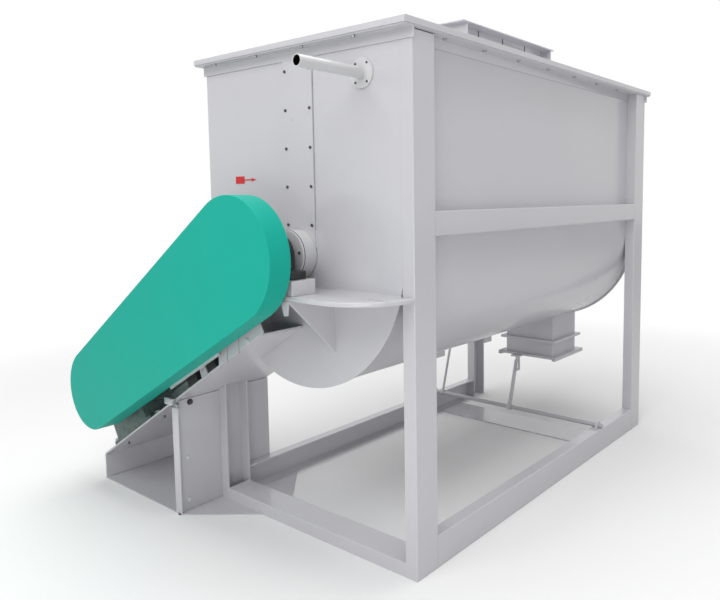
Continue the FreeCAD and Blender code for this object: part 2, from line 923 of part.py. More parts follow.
def make_bearings():
    """Both shaft supports, from the shelf up to the seal."""
    shelf = make_shelf("bearing_shelf_front", half_frame, 0, Rotation(), size.shelf_corner)
    slot_front = -size.shelf_slot_distance - size.shelf_slot_width
    slot_end = size.shelf_slot_start + size.shelf_slot_length
    slot = rectangle(size.shelf_slot_start, slot_front, slot_end, -size.shelf_slot_distance)
    pocket(shelf, "XY", [slot], shelf_bottom, shelf_top)
    post = Circle(size.guard_post_side, shelf_middle, size.guard_post_radius)
    pad(shelf, "XZ", [post], -size.guard_rear, -size.shelf_depth)
    rear_corner = size.shelf_corner / 3
    make_shelf("bearing_shelf_rear", size.rear_shelf_width / 2, rear_face, HALF_TURN, rear_corner)
    make_gussets()
    front = -size.bearing_distance
    rear = rear_face + size.bearing_distance
    half = size.spacer_length / 2
    depth = size.spacer_width / 2
    spacers = new_body("bearing_spacers")
    blocks = [rectangle(-half, centre - depth, half, centre + depth) for centre in (front, rear)]
    pad(spacers, "XY", blocks, shelf_top, shelf_top + size.spacer_height)
    for end, centre in (("front", front), ("rear", rear)):
        make_pillow(f"pillow_block_{end}", centre)
        make_bearing_ring(f"bearing_ring_{end}", centre)
    make_seal("seal_housing_front", 0, FACING_FRONT)
    make_seal("seal_housing_rear", rear_face, UPRIGHT_TO_REAR)
    seat = shelf_top + size.spacer_height + size.pillow_foot_height
    offset = size.pillow_bolt_offset
    centres = [(side * offset, y) for y in (front, rear) for side in (1, -1)]
    flats = size.large_bolt_flats
    bolt_heads("pillow_bolts", "XY", centres, seat, seat + size.large_bolt_head, flats)


def ribbon(name, outer_radius, width, pitch, length, start, left_handed, turned):
    """Helical ribbon: a flat bar wound round the shaft."""
    rotation = UPRIGHT_TO_REAR.multiply(Rotation(Vector(0, 0, 1), turned))
    body = new_body(name, 0, start, size.shaft_height, rotation)
    half = size.ribbon_thickness / 2
    bar = rectangle(outer_radius - width, 0, outer_radius, 2 * half)
    sketch = new_sketch(body, "XZ", [bar])
    helix = body.newObject("PartDesign::AdditiveHelix", "Helix")
    helix.Profile = sketch
    helix.ReferenceAxis = (sketch, ["V_Axis"])
    helix.Mode = 0
    bind(helix, "Pitch", pitch)
    bind(helix, "Height", length)
    helix.Angle = 0
    helix.LeftHanded = left_handed
    helix.Reversed = False
    body.Tip = helix
    return body


def make_spoke(angle, reach, distance):
    """Round bar from the shaft's surface to the inner edge of a ribbon."""
    bar = Part.makeCylinder(
        size.spoke_radius.value, reach.value, Vector(0, distance, 0), Vector(1, 0, 0)
    )
    shaft = Part.makeCylinder(
        shaft_radius.value, 4 * size.spoke_radius.value,
        Vector(0, distance - 2 * size.spoke_radius.value, 0), Vector(0, 1, 0),
    )
    return bar.cut(shaft).rotate(Vector(0, 0, 0), Vector(0, 1, 0), angle)


def make_rotor():
    """Main shaft with two ribbons of opposite hand on radial spokes."""
    front_stub = size.drive_plane + size.hub_length / 2
    shaft = new_body("main_shaft", 0, -front_stub, size.shaft_height, UPRIGHT_TO_REAR)
    pad(shaft, "XY", [Circle(0, 0, shaft_radius)], 0, front_stub + back_end)
    start = size.end_wall + size.ribbon_end_gap
    length = rear_face - 2 * start - size.ribbon_thickness
    pitch = length / 2
    outer = trough_inner - size.ribbon_gap
    ribbon("outer_ribbon", outer, size.outer_ribbon_width, pitch, length, start, False, 0)
    inner = size.inner_ribbon_radius
    ribbon("inner_ribbon", inner, size.inner_ribbon_width, pitch, length, start, True, 180)
    spokes = []
    margin = size.spoke_radius.value + size.ribbon_thickness.value
    outer_reach = outer - size.outer_ribbon_width - size.running_gap
    inner_reach = inner - size.inner_ribbon_width - size.running_gap
    middle = size.ribbon_thickness.value / 2
    for quarter in range(5):
        along = length.value * quarter / 4
        along = min(max(along, margin), length.value - margin)
        turn = 360 * along / pitch.value
        spokes.append(make_spoke(turn, outer_reach, along + middle))
        spokes.append(make_spoke(180 - turn, inner_reach, along + middle))
    item = document.addObject("Part::Feature", "ribbon_spokes")
    item.Shape = Part.makeCompound(spokes)
    place(item, 0, start, size.shaft_height)
    keep(item, "ribbon_spokes")


# Height of a tooth over the pitch circle in roller radii, and how far the gap opens outward
TOOTH_RISE = 0.75
GAP_SPREAD = 2


def make_sprocket(name, x, z, teeth, pitch_radius, hub_radius, bore_radius, turned):
    """Chain wheel: toothed disc with a hub on both sides."""
    rotation = FACING_FRONT.multiply(Rotation(Vector(0, 0, 1), turned))
    wheel = new_body(name, x, -size.drive_plane, z, rotation)
    half = size.tooth_width / 2
    tip = pitch_radius + size.roller_radius * TOOTH_RISE
    pad(wheel, "XY", [Circle(0, 0, tip)], -half, half)
    hub = size.hub_length / 2
    pad(wheel, "XY", [Circle(0, 0, hub_radius)], -hub, hub)
    pocket(wheel, "XY", [Circle(0, 0, bore_radius + size.fit_gap)], -hub, hub)
    seat = size.roller_radius + size.running_gap
    rise = size.roller_radius / 10
    flank = square_root(seat * seat - rise * rise)
    mouth = seat * GAP_SPREAD
    gap = [
        (pitch_radius + rise, -flank),
        (tip + seat, -mouth),
        (tip + seat, mouth),
        (pitch_radius + rise, flank),
        Arc(pitch_radius, 0, seat),
    ]
    gap_cut = pocket(wheel, "XY", [gap], -half, half)
    repeat_round(wheel, gap_cut, "Z", teeth)
    return wheel


def chain_path():
    """Tangent points and wraps of the chain, in the plane of the drive."""
    lean = math.asin((big_pitch_radius.value - small_pitch_radius.value) / drive_distance.value)
    straight = drive_distance.value * math.cos(lean)
    big_wrap = math.pi + 2 * lean
    small_wrap = math.pi - 2 * lean
    return lean, straight, big_wrap, small_wrap


def roller_place(step):
    """Centre of one chain roller, with the small wheel's centre at the origin and the
    big wheel's centre along +X."""
    lean, straight, big_wrap, small_wrap = chain_path()
    pitch = size.chain_pitch.value
    big_links = big_wrap * size.big_teeth.value / (2 * math.pi)
    small_links = small_wrap * size.small_teeth.value / (2 * math.pi)
    straight_links = straight / pitch
    if step < big_links:
        angle = -(math.pi / 2 + lean) + 2 * math.pi * step / size.big_teeth.value
        radius = big_pitch_radius.value
        return drive_distance.value + radius * math.cos(angle), radius * math.sin(angle)
    step -= big_links
    upper = math.pi / 2 + lean
    if step < straight_links:
        radius = big_pitch_radius.value
        first = (drive_distance.value + radius * math.cos(upper), radius * math.sin(upper))
        radius = small_pitch_radius.value
        last = (radius * math.cos(upper), radius * math.sin(upper))
        share = step / straight_links
        return first[0] + (last[0] - first[0]) * share, first[1] + (last[1] - first[1]) * share
    step -= straight_links
    if step < small_links:
        angle = upper + 2 * math.pi * step / size.small_teeth.value
        radius = small_pitch_radius.value
        return radius * math.cos(angle), radius * math.sin(angle)
    step -= small_links
    radius = small_pitch_radius.value
    first = (radius * math.cos(-upper), radius * math.sin(-upper))
    radius = big_pitch_radius.value
    last = (drive_distance.value + radius * math.cos(-upper), radius * math.sin(-upper))
    share = step / straight_links
    return first[0] + (last[0] - first[0]) * share, first[1] + (last[1] - first[1]) * share


def chain_band(offset, start, end):
    """Closed band round both pitch circles, moved out by an offset."""
    lean = chain_path()[0]
    upper = math.pi / 2 + lean
    big = big_pitch_radius.value + offset
    small = small_pitch_radius.value + offset
    centre = drive_distance.value

    def point(x, radius, angle):
        return Vector(x + radius * math.cos(angle), start, radius * math.sin(angle))

    edges = [
        Part.Arc(point(centre, big, -upper), point(centre, big, 0), point(centre, big, upper)).toShape(),
        Part.LineSegment(point(centre, big, upper), point(0, small, upper)).toShape(),
        Part.Arc(point(0, small, upper), point(0, small, math.pi), point(0, small, -upper)).toShape(),
        Part.LineSegment(point(0, small, -upper), point(centre, big, -upper)).toShape(),
    ]
    face = Part.Face(Part.Wire(edges))
    return face.extrude(Vector(0, end - start, 0))


def make_drive():
    """Both sprockets and the roller chain between them."""
    first_gap = -(90 + math.degrees(chain_path()[0]))
    big_turn = first_gap + SIZES["drive_angle"]
    make_sprocket(
        "big_sprocket", 0, size.shaft_height, size.big_teeth, big_pitch_radius,
        size.big_hub_radius, shaft_radius, big_turn,
    )
    lean, straight, big_wrap, small_wrap = chain_path()
    arrival = math.ceil(big_wrap * SIZES["big_teeth"] / (2 * math.pi) + straight / SIZES["chain_pitch"])
    x, z = roller_place(arrival)
    small_turn = math.degrees(math.atan2(z, x)) + SIZES["drive_angle"]
    make_sprocket(
        "small_sprocket", small_x, small_z, size.small_teeth, small_pitch_radius,
        size.small_hub_radius, size.output_shaft_diameter / 2, small_turn,
    )
    half = size.chain_inner_width.value / 2
    wall = size.link_thickness.value
    reach = size.link_half_height.value
    chain = None
    for start in (-half - wall, half):
        band = chain_band(reach, start, start + wall).cut(chain_band(-reach, start, start + wall))
        chain = band if chain is None else chain.fuse(band)
    rollers = []
    for link in range(SIZES["chain_links"]):
        x, z = roller_place(link)
        spot = Vector(x, -half, z)
        rollers.append(Part.makeCylinder(size.roller_radius.value * 0.95, 2 * half, spot, Vector(0, 1, 0)))
    chain = chain.fuse(rollers)
    item = document.addObject("Part::Feature", "drive_chain")
    item.Shape = chain
    place(item, small_x, -size.drive_plane, small_z, SLOPE_TURN)
    keep(item, "drive_chain")


def guard_outline(offset):
    """Outline of the guard in the plane of the drive, moved in by an offset."""
    big = size.guard_big_radius - offset
    small = size.guard_small_radius - offset
    lean_sine = (size.guard_big_radius - size.guard_small_radius) / drive_distance
    lean_cosine = square_root(1 - lean_sine * lean_sine)
    return [
        (-small * lean_sine, small * lean_cosine),
        Arc(0, 0, small),
        (-small * lean_sine, -small * lean_cosine),
        (drive_distance - big * lean_sine, -big * lean_cosine),
        Arc(drive_distance, 0, big),
        (drive_distance - big * lean_sine, big * lean_cosine),
    ]


# Share of the guard's wall that a tab reaches into
TAB_SINK = 0.9


def make_guard():
    """Deep pan over the chain drive, open at the back."""
    guard = new_body("chain_guard", small_x, 0, small_z, SLOPE_TURN)
    pad(guard, "XZ", [guard_outline(0)], -size.guard_front, -size.guard_rear)
    sheet_wall = size.guard_sheet
    inner = sheet_wall - size.guard_front
    pocket(guard, "XZ", [guard_outline(sheet_wall)], inner, -size.guard_rear)
    half = size.guard_tab_width / 2
    small_edge = size.guard_small_radius - sheet_wall * TAB_SINK
    big_edge = size.guard_big_radius - sheet_wall * TAB_SINK
    drop = size.shaft_height - shelf_middle
    along = drive_distance + size.guard_post_side * slope_cosine - drop * slope_sine
    up = -size.guard_post_side * slope_sine - drop * slope_cosine
    tabs = [
        rectangle(-half, -small_edge, half, half - size.guard_post_low),
        rectangle(-half, size.guard_post_high - half, half, small_edge),
        rectangle(along - half, -big_edge, along + half, up + half),
    ]
    pad(guard, "XZ", tabs, -size.guard_rear - sheet_wall, -size.guard_rear)


def make_gear_motor():
    """Right-angle gear motor that lies along the sloping plate."""
    seat = -size.axis_over_plate
    back = size.gearbox_depth - size.gearbox_front
    box = new_body("gearbox_case", small_x, 0, small_z, SLOPE_TURN)
    half = size.gearbox_half_length
    crown = size.gearbox_top
    case = [
        (-half, seat + size.foot_thickness),
        (half, seat + size.foot_thickness),
        (half, 0),
        Arc(half - crown, 0, crown),
        (half - crown, crown),
        (crown - half, crown),
        Arc(crown - half, 0, crown),
        (-half, 0),
    ]
    pad(box, "XZ", [case], -size.gearbox_front, back)
    foot = rectangle(-half - size.foot_overhang, seat, half + size.foot_overhang, seat + size.foot_thickness)
    pad(box, "XZ", [foot], -size.gearbox_front, back)
    post = size.guard_post_radius
    posts = [Circle(0, -size.guard_post_low, post), Circle(0, size.guard_post_high, post)]
    pad(box, "XZ", posts, -size.guard_rear, -size.gearbox_front)
    shaft = new_body("output_shaft", small_x, -size.drive_plane - size.hub_length / 2, small_z, UPRIGHT_TO_REAR)
    end = size.drive_plane + size.hub_length / 2 - size.gearbox_front - size.running_gap
    pad(shaft, "XY", [Circle(0, 0, size.output_shaft_diameter / 2)], 0, end)
    centre_y = -size.motor_radius - size.motor_back_gap
    turn = SLOPE_TURN.multiply(Rotation(Vector(0, 1, 0), 90))
    motor_x = small_x + half * slope_cosine + size.motor_drop * slope_sine
    motor_z = small_z + half * slope_sine - size.motor_drop * slope_cosine
    motor = new_body("motor_case", motor_x, centre_y, motor_z, turn)
    radius = size.motor_radius
    core = radius * 0.86
    flange = size.motor_flange_thickness
    revolve(motor, [
        (0, 0),
        (radius, 0),
        (radius, flange),
        (core, flange * 1.6),
        (core, size.motor_length),
        (0, size.motor_length),
    ])
    cowl_x = motor_x + size.motor_length * slope_cosine
    cowl_z = motor_z + size.motor_length * slope_sine
    cowl = new_body("fan_cowl", cowl_x, centre_y, cowl_z, turn)
    revolve(cowl, [
        (0, 0),
        (radius * 0.94, 0),
        (radius * 0.94, size.cowl_length * 0.8),
        (radius * 0.8, size.cowl_length),
        (0, size.cowl_length),
    ])


def slope_height(x):
    """Height of the motor plate's underside at a distance across the machine."""
    return plate_base_z + (x - plate_base_x) * slope_rise


plate_depth = size.axis_over_plate + size.motor_plate_thickness
plate_base_x = small_x + plate_depth * slope_sine
plate_base_z = small_z - plate_depth * slope_cosine
stand_left = -size.stand_left


def make_motor_plate():
    """Sloping plate that carries the gear motor, notched round the front left leg."""
    plate = new_body("motor_plate")
    rise = size.motor_plate_thickness / slope_cosine
    end = size.motor_plate_end
    band = [
        (stand_left, slope_height(stand_left)),
        (end, slope_height(end)),
        (end, slope_height(end) + rise),
        (stand_left, slope_height(stand_left) + rise),
    ]
    pad(plate, "XZ", [band], -size.stand_front, size.stand_back)
    gap = size.running_gap
    notch = rectangle(-half_frame - gap, -gap, -trough_half + gap, size.channel_web + gap)
    pocket(plate, "XY", [notch], 0, size.shaft_height)
    clear = end_radius + gap
    pocket(plate, "XZ", [Circle(0, size.shaft_height, clear)], -gap, size.stand_back)


def make_stand():
    """Welded stand under the motor plate."""
    sheet_wall = size.stand_sheet
    corner_x = -half_frame + sheet_wall + size.cheek_bar_overlap
    floor = new_body("stand_floor_plate")
    footprint = [
        (stand_left - sheet_wall, -size.stand_front),
        (corner_x, -size.stand_front),
        (-size.corner_plate_width, 0),
        (-half_frame, 0),
        (-half_frame, size.stand_back),
        (stand_left - sheet_wall, size.stand_back),
    ]
    pad(floor, "XY", [footprint], 0, size.floor_sheet)
    wall = new_body("stand_left_wall")
    side = rectangle(stand_left, -size.stand_front, stand_left + sheet_wall, size.stand_back)
    pad(wall, "XY", [side], size.floor_sheet, slope_height(stand_left))
    make_front_cheek()
    make_rear_cheek()
    make_guard_rail()


def make_front_cheek():
    """Upright sheet at the leg with a flat bar along its front edge."""
    wall = size.stand_sheet
    cheek = new_body("stand_cheek_front")
    left = -half_frame
    right = left + wall
    web = [
        (left, size.floor_sheet),
        (right, size.floor_sheet),
        (right, slope_height(left)),
        (left, slope_height(left)),
    ]
    pad(cheek, "XZ", [web], -size.stand_front, 0)
    inner = right + size.cheek_bar_overlap
    outer = inner - size.cheek_bar_width
    bar = [
        (outer, size.floor_sheet),
        (inner, size.floor_sheet),
        (inner, slope_height(inner)),
        (outer, slope_height(outer)),
    ]
    pad(cheek, "XZ", [bar], -size.stand_front, wall - size.stand_front)


def make_rear_cheek():
    """Upright sheet on the left base rail under the back of the motor plate."""
    wall = size.stand_sheet
    cheek = new_body("stand_cheek_rear")
    left = -half_frame
    web = [
        (left, size.channel_web),
        (left + wall, size.channel_web),
        (left + wall, slope_height(left)),
        (left, slope_height(left)),
    ]
    pad(cheek, "XZ", [web], size.channel_web, size.stand_back)


def make_guard_rail():
    """Flat bar along the upper part of the motor plate's front edge."""
    bar = new_body("guard_rail")
    low = -size.rail_bar_start
    high = size.rail_bar_end
    rise = size.rail_bar_height / slope_cosine
    run = size.rail_bar_height * slope_sine
    outline = [
        (low, slope_height(low)),
        (high, slope_height(high)),
        (high - run, slope_height(high - run) + rise),
        (low, slope_height(low) + rise),
    ]
    front = -size.stand_front - size.stand_sheet
    pad(bar, "XZ", [outline], front, -size.stand_front)


def make_outlet():
    """Chute, lower spout, slide gate and its guides."""
    wall = size.outlet_sheet
    left = -size.outlet_left
    right = size.outlet_right
    front = size.outlet_start
    back = size.outlet_end
    bore = rectangle(left + wall, front + wall, right - wall, back - wall)
    tube = rectangle(left, front, right, back)

    def flange(reach):
        return rectangle(left - reach, front - reach, right + reach, back + reach)

    joint_top = size.outlet_joint_height + size.outlet_joint_thickness
    chute = new_body("outlet_chute")
    pad(chute, "XY", [tube, bore], size.outlet_joint_height, size.shaft_height - trough_half / 2)
    pocket(chute, "XZ", [Circle(0, size.shaft_height, trough_half)], front - wall, back + wall)
    joint = size.outlet_joint_flange
    pad(chute, "XY", [flange(joint), bore], size.outlet_joint_height, joint_top)
    spout = new_body("outlet_spout")
    pad(spout, "XY", [tube, bore], size.outlet_bottom, size.outlet_joint_height)
    rim = size.outlet_flange
    pad(spout, "XY", [flange(rim), bore], size.outlet_bottom, size.outlet_bottom + size.guide_wall)
    make_gate(left, right, front, back)


def make_gate(left, right, front, back):
    """Slide gate with its slotted lug, and the two guides that carry it."""
    rim = size.outlet_flange
    play = size.gate_play
    gate_top = size.outlet_bottom - play
    gate_bottom = gate_top - size.gate_thickness
    guide_left = left - rim
    guide_right = right + rim
    gate_left = guide_left + size.guide_wall + play
    gate_right = guide_right - size.guide_wall - play
    pin_y = size.rock_shaft_distance + size.arm_length * sine(size.arm_lean)
    lug_half = size.lug_slot_half + size.gate_lug_thickness
    gate_front = front - rim + size.guide_wall
    tongue = size.arm_thickness + size.gate_lug_thickness + size.guide_wall
    gate = new_body("slide_gate")
    plate = [
        (-tongue, pin_y - lug_half),
        (tongue, pin_y - lug_half),
        (tongue, gate_front),
        (gate_right, gate_front),
        (gate_right, back + rim - size.guide_wall),
        (gate_left, back + rim - size.guide_wall),
        (gate_left, gate_front),
        (-tongue, gate_front),
    ]
    pad(gate, "XY", [plate], gate_bottom, gate_top)
    pin_top = rock_height + size.arm_length
    pin_low = rock_height + size.arm_length * cosine(size.arm_lean * 2)
    slot_top = pin_top + size.arm_pin_radius + size.running_gap
    slot_bottom = pin_low - size.arm_pin_radius * 2
    lug = rectangle(pin_y - lug_half, slot_bottom - size.gate_lug_thickness, pin_y + lug_half, gate_bottom)
    slot = rectangle(pin_y - size.lug_slot_half, slot_bottom, pin_y + size.lug_slot_half, slot_top)
    inner = size.arm_thickness / 2 + size.gate_play
    pad(gate, "YZ", [lug, slot], inner, inner + size.gate_lug_thickness)
    guides = new_body("gate_guides")
    guide_bottom = gate_bottom - play - size.guide_wall
    sections = [
        [
            (guide_right, size.outlet_bottom),
            (guide_right - size.guide_wall, size.outlet_bottom),
            (guide_right - size.guide_wall, gate_bottom - play),
            (guide_right - size.guide_wall - size.guide_lip, gate_bottom - play),
            (guide_right - size.guide_wall - size.guide_lip, guide_bottom),
            (guide_right, guide_bottom),
        ],
        [
            (guide_left, size.outlet_bottom),
            (guide_left, guide_bottom),
            (guide_left + size.guide_wall + size.guide_lip, guide_bottom),
            (guide_left + size.guide_wall + size.guide_lip, gate_bottom - play),
            (guide_left + size.guide_wall, gate_bottom - play),
            (guide_left + size.guide_wall, size.outlet_bottom),
        ],
    ]
    pad(guides, "XZ", sections, front - rim, back + rim)


rock_height = size.channel_web + size.rock_rod_radius + size.running_gap


def make_linkage():
    """Rock shaft in two brackets, with the gate arm and the hand lever."""
    rod = size.rock_rod_radius
    y = size.rock_shaft_distance
    reach = half_frame
    shaft = new_body("rock_shaft", -reach, y, rock_height, Rotation(Vector(0, 1, 0), 90))
    pad(shaft, "XY", [Circle(0, 0, rod)], 0, 2 * reach)
    lean = Rotation(Vector(1, 0, 0), -SIZES["arm_lean"])
    arm = new_body("gate_arm", 0, y, rock_height, lean)
    half = size.arm_half_width
    pin = size.arm_pin_radius
    hub = rod + size.guide_wall
    thick = size.arm_thickness / 2
    bore = Circle(0, 0, rod + size.fit_gap)
    pad(arm, "YZ", [Circle(0, 0, hub), bore], -2 * thick, 2 * thick)
    blade = [
        (-half, hub * 0.8),
        (half, hub * 0.8),
        (half, size.arm_length),
        Arc(0, size.arm_length, half),
        (-half, size.arm_length),
    ]
    pad(arm, "YZ", [blade], -thick, thick)
    pin_end = thick + size.gate_play + size.gate_lug_thickness + size.gate_play * 4
    pad(arm, "YZ", [Circle(0, size.arm_length, pin)], -thick, pin_end)
    lever = new_body("hand_lever", -size.lever_offset, y, rock_height, lean)
    pad(lever, "YZ", [Circle(0, 0, hub), bore], -2 * thick, 2 * thick)
    pad(lever, "XY", [Circle(0, 0, size.lever_radius)], hub * 0.8, size.lever_length)
    brackets = new_body("rock_brackets", 0, y, 0)
    eye = rod + size.running_gap / 4
    outer = rod * 2
    foot = size.channel_web
    outline = [
        (-2 * outer, foot),
        (2 * outer, foot),
        (2 * outer, foot + size.guide_wall),
        (outer, foot + size.guide_wall),
        (outer, rock_height),
        Arc(0, rock_height, outer),
        (-outer, rock_height),
        (-outer, foot + size.guide_wall),
        (-2 * outer, foot + size.guide_wall),
    ]
    inset = half_frame - size.channel_flange / 2
    for side in (inset, -inset):
        pad(brackets, "YZ", [outline], side - thick, side + thick)
    for side in (inset, -inset):
        pocket(brackets, "YZ", [Circle(0, rock_height, eye)], side - thick, side + thick)


def make_pipe():
    """Liquid pipe with its flange, run through the trough to the rear plate."""
    pipe = new_body("liquid_pipe", size.pipe_offset, -size.pipe_reach, size.pipe_height, UPRIGHT_TO_REAR)
    radius = size.pipe_radius
    bore = radius - size.pipe_wall
    end = size.pipe_reach + rear_face - size.end_wall
    seat = size.pipe_reach
    disc = seat - size.pipe_flange_thickness
    revolve(pipe, [
        (bore, 0),
        (radius, 0),
        (radius, disc),
        (size.pipe_flange_radius, disc),
        (size.pipe_flange_radius, seat),
        (radius, seat),
        (radius, end),
        (0, end),
        (0, end - size.pipe_wall),
        (bore, end - size.pipe_wall),
    ])


def make_arrow():
    """Small arrow that shows which way the shaft turns."""
    arrow = new_body("turning_arrow")
    left = -size.arrow_left
    tip = -size.arrow_right
    block = left + size.arrow_block_width
    middle = size.arrow_height
    half = size.arrow_block_height / 2
    line = size.arrow_block_height / 12
    head = tip - size.arrow_block_height
    outline = [
        (left, middle - half),
        (block, middle - half),
        (block, middle - line),
        (head, middle - line),
        (head, middle - half / 2),
        (tip, middle),
        (head, middle + half / 2),
        (head, middle + line),
        (block, middle + line),
        (block, middle + half),
        (left, middle + half),
    ]
    pad(arrow, "XZ", [outline], -1, 0)


def check_and_write():
    """Stop on any failed feature or shape, then write each piece to its file."""
    document.recompute()
    faults = []
    for item in document.Objects:
        group = item.getParentGeoFeatureGroup()
        owner = group.Label if group else item.Label
        if "Invalid" in item.State or "Error" in item.State:
            faults.append(f"{owner}: {item.Name} {item.getStatusString()}")
        elif item.TypeId == "PartDesign::Pocket" and not item.Shape.isNull():
            if item.Shape.Volume > item.BaseFeature.Shape.Volume - 1:
                faults.append(f"{owner}: {item.Name} cuts nothing")
    for item in sub_parts:
        if item.Shape.isNull() or not item.Shape.isValid():
            faults.append(f"{item.Label}: its shape is not valid")
    if faults:
        raise RuntimeError("\n".join(faults))
    os.makedirs("parts", exist_ok=True)
    for item in sub_parts:
        item.Shape.exportStep(f"parts/{item.Label}.step")
    print(len(sub_parts), "pieces")


make_frame()
make_trough_shell()
make_end_plate("end_plate_front", as_size(0), True)
make_end_plate("end_plate_rear", rear_face - size.end_wall, False)
make_cover_strips()
make_trough_lugs()
make_rim()
make_lid()
make_inlet_collar()
make_bolts()
make_bearings()
make_rotor()
make_drive()
make_guard()
make_gear_motor()
make_motor_plate()
make_stand()
make_outlet()
make_linkage()
make_pipe()
make_arrow()
check_and_write()
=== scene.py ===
import json
import math

import bmesh
import bpy
from mathutils import Matrix, Vector

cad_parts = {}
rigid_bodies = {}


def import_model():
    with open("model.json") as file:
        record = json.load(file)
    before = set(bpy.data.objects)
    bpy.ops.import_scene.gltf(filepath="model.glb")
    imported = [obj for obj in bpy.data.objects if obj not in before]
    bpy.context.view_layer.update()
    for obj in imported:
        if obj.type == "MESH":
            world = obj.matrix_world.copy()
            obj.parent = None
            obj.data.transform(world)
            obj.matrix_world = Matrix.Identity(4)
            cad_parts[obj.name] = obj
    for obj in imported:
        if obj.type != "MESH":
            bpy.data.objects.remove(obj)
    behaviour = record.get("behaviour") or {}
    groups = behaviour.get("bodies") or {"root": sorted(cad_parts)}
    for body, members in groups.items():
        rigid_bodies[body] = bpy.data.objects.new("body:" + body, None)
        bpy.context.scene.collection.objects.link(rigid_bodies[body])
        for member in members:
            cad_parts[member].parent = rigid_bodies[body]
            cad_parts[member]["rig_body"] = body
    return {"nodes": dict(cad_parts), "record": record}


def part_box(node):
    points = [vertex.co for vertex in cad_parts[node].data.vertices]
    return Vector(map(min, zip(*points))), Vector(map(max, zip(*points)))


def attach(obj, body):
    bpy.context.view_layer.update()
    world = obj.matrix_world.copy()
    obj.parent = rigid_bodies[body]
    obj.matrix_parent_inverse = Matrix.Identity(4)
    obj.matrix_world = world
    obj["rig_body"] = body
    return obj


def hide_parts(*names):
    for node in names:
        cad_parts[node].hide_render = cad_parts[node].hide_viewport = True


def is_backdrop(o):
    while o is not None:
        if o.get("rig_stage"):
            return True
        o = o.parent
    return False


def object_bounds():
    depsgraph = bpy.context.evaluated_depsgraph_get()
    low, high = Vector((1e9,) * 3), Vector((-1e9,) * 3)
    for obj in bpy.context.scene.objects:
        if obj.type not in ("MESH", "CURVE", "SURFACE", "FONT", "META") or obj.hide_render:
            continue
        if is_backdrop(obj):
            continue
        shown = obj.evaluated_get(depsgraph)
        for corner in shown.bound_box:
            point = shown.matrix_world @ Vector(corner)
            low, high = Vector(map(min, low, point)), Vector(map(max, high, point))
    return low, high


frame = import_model()
cad_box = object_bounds()

MM = 0.001
X, Y, Z = range(3)


def centre(node, axis):
    """Middle of a node's box along one axis, in metres."""
    low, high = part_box(node)
    return (low[axis] + high[axis]) / 2


# Places of the machine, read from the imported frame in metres
MIDDLE = centre("trough_shell", X)
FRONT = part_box("leg_front_right")[0].y
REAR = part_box("leg_rear_right")[1].y
SHAFT_Z = centre("big_sprocket", Z)
SMALL_X = centre("small_sprocket", X)
SMALL_Z = centre("small_sprocket", Z)
DRIVE_Y = centre("drive_chain", Y)
SLOPE = math.atan2(SHAFT_Z - SMALL_Z, MIDDLE - SMALL_X)


def at(x, y, z):
    """Place in millimetres across from the middle plane, back from the front faces and up."""
    return Vector((MIDDLE + x * MM, FRONT + y * MM, z * MM))


def on_slope(along, back, up):
    """Place in millimetres up the slope from the small wheel, back, and square to the slope."""
    x = along * math.cos(SLOPE) - up * math.sin(SLOPE)
    z = along * math.sin(SLOPE) + up * math.cos(SLOPE)
    return Vector((SMALL_X + x * MM, FRONT + back * MM, SMALL_Z + z * MM))


class Edges:
    """Left, right, front, back, bottom and top of a node, in the millimetres of at()."""

    def __init__(self, node):
        low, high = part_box(node)
        self.left = (low.x - MIDDLE) / MM
        self.right = (high.x - MIDDLE) / MM
        self.front = (low.y - FRONT) / MM
        self.back = (high.y - FRONT) / MM
        self.bottom = low.z / MM
        self.top = high.z / MM


# Sizes and faces of the machine in the millimetres of at()
LENGTH = (REAR - FRONT) / MM
SHAFT_HEIGHT = SHAFT_Z / MM
PIPE_ACROSS = (centre("liquid_pipe", X) - MIDDLE) / MM
PIPE_HEIGHT = centre("liquid_pipe", Z) / MM
SHELL_RADIUS = Edges("trough_shell").right
CHEEK_FACE = Edges("stand_cheek_rear").right
STAND_FRONT = Edges("motor_plate").front
FLOOR_PLATE = Edges("stand_floor_plate").top
LEG = Edges("leg_front_right")


# Shader values that take part in Python expressions
class Value:
    """One output of a shader node, with arithmetic."""

    def __init__(self, finish, socket):
        self.finish = finish
        self.socket = socket

    def math(self, operation, first, second):
        values = {0: first, 1: second}
        return self.finish.node("ShaderNodeMath", {"operation": operation}, values)

    def __add__(self, other):
        return self.math("ADD", self, other)

    def __radd__(self, other):
        return self.math("ADD", other, self)

    def __sub__(self, other):
        return self.math("SUBTRACT", self, other)

    def __rsub__(self, other):
        return self.math("SUBTRACT", other, self)

    def __mul__(self, other):
        return self.math("MULTIPLY", self, other)

    def __rmul__(self, other):
        return self.math("MULTIPLY", other, self)

    def over(self, start, end):
        """0 below the start, 1 above the end and an even rise between them."""
        values = {"Value": self, "From Min": start, "From Max": end}
        return self.finish.node("ShaderNodeMapRange", {"clamp": True}, values)


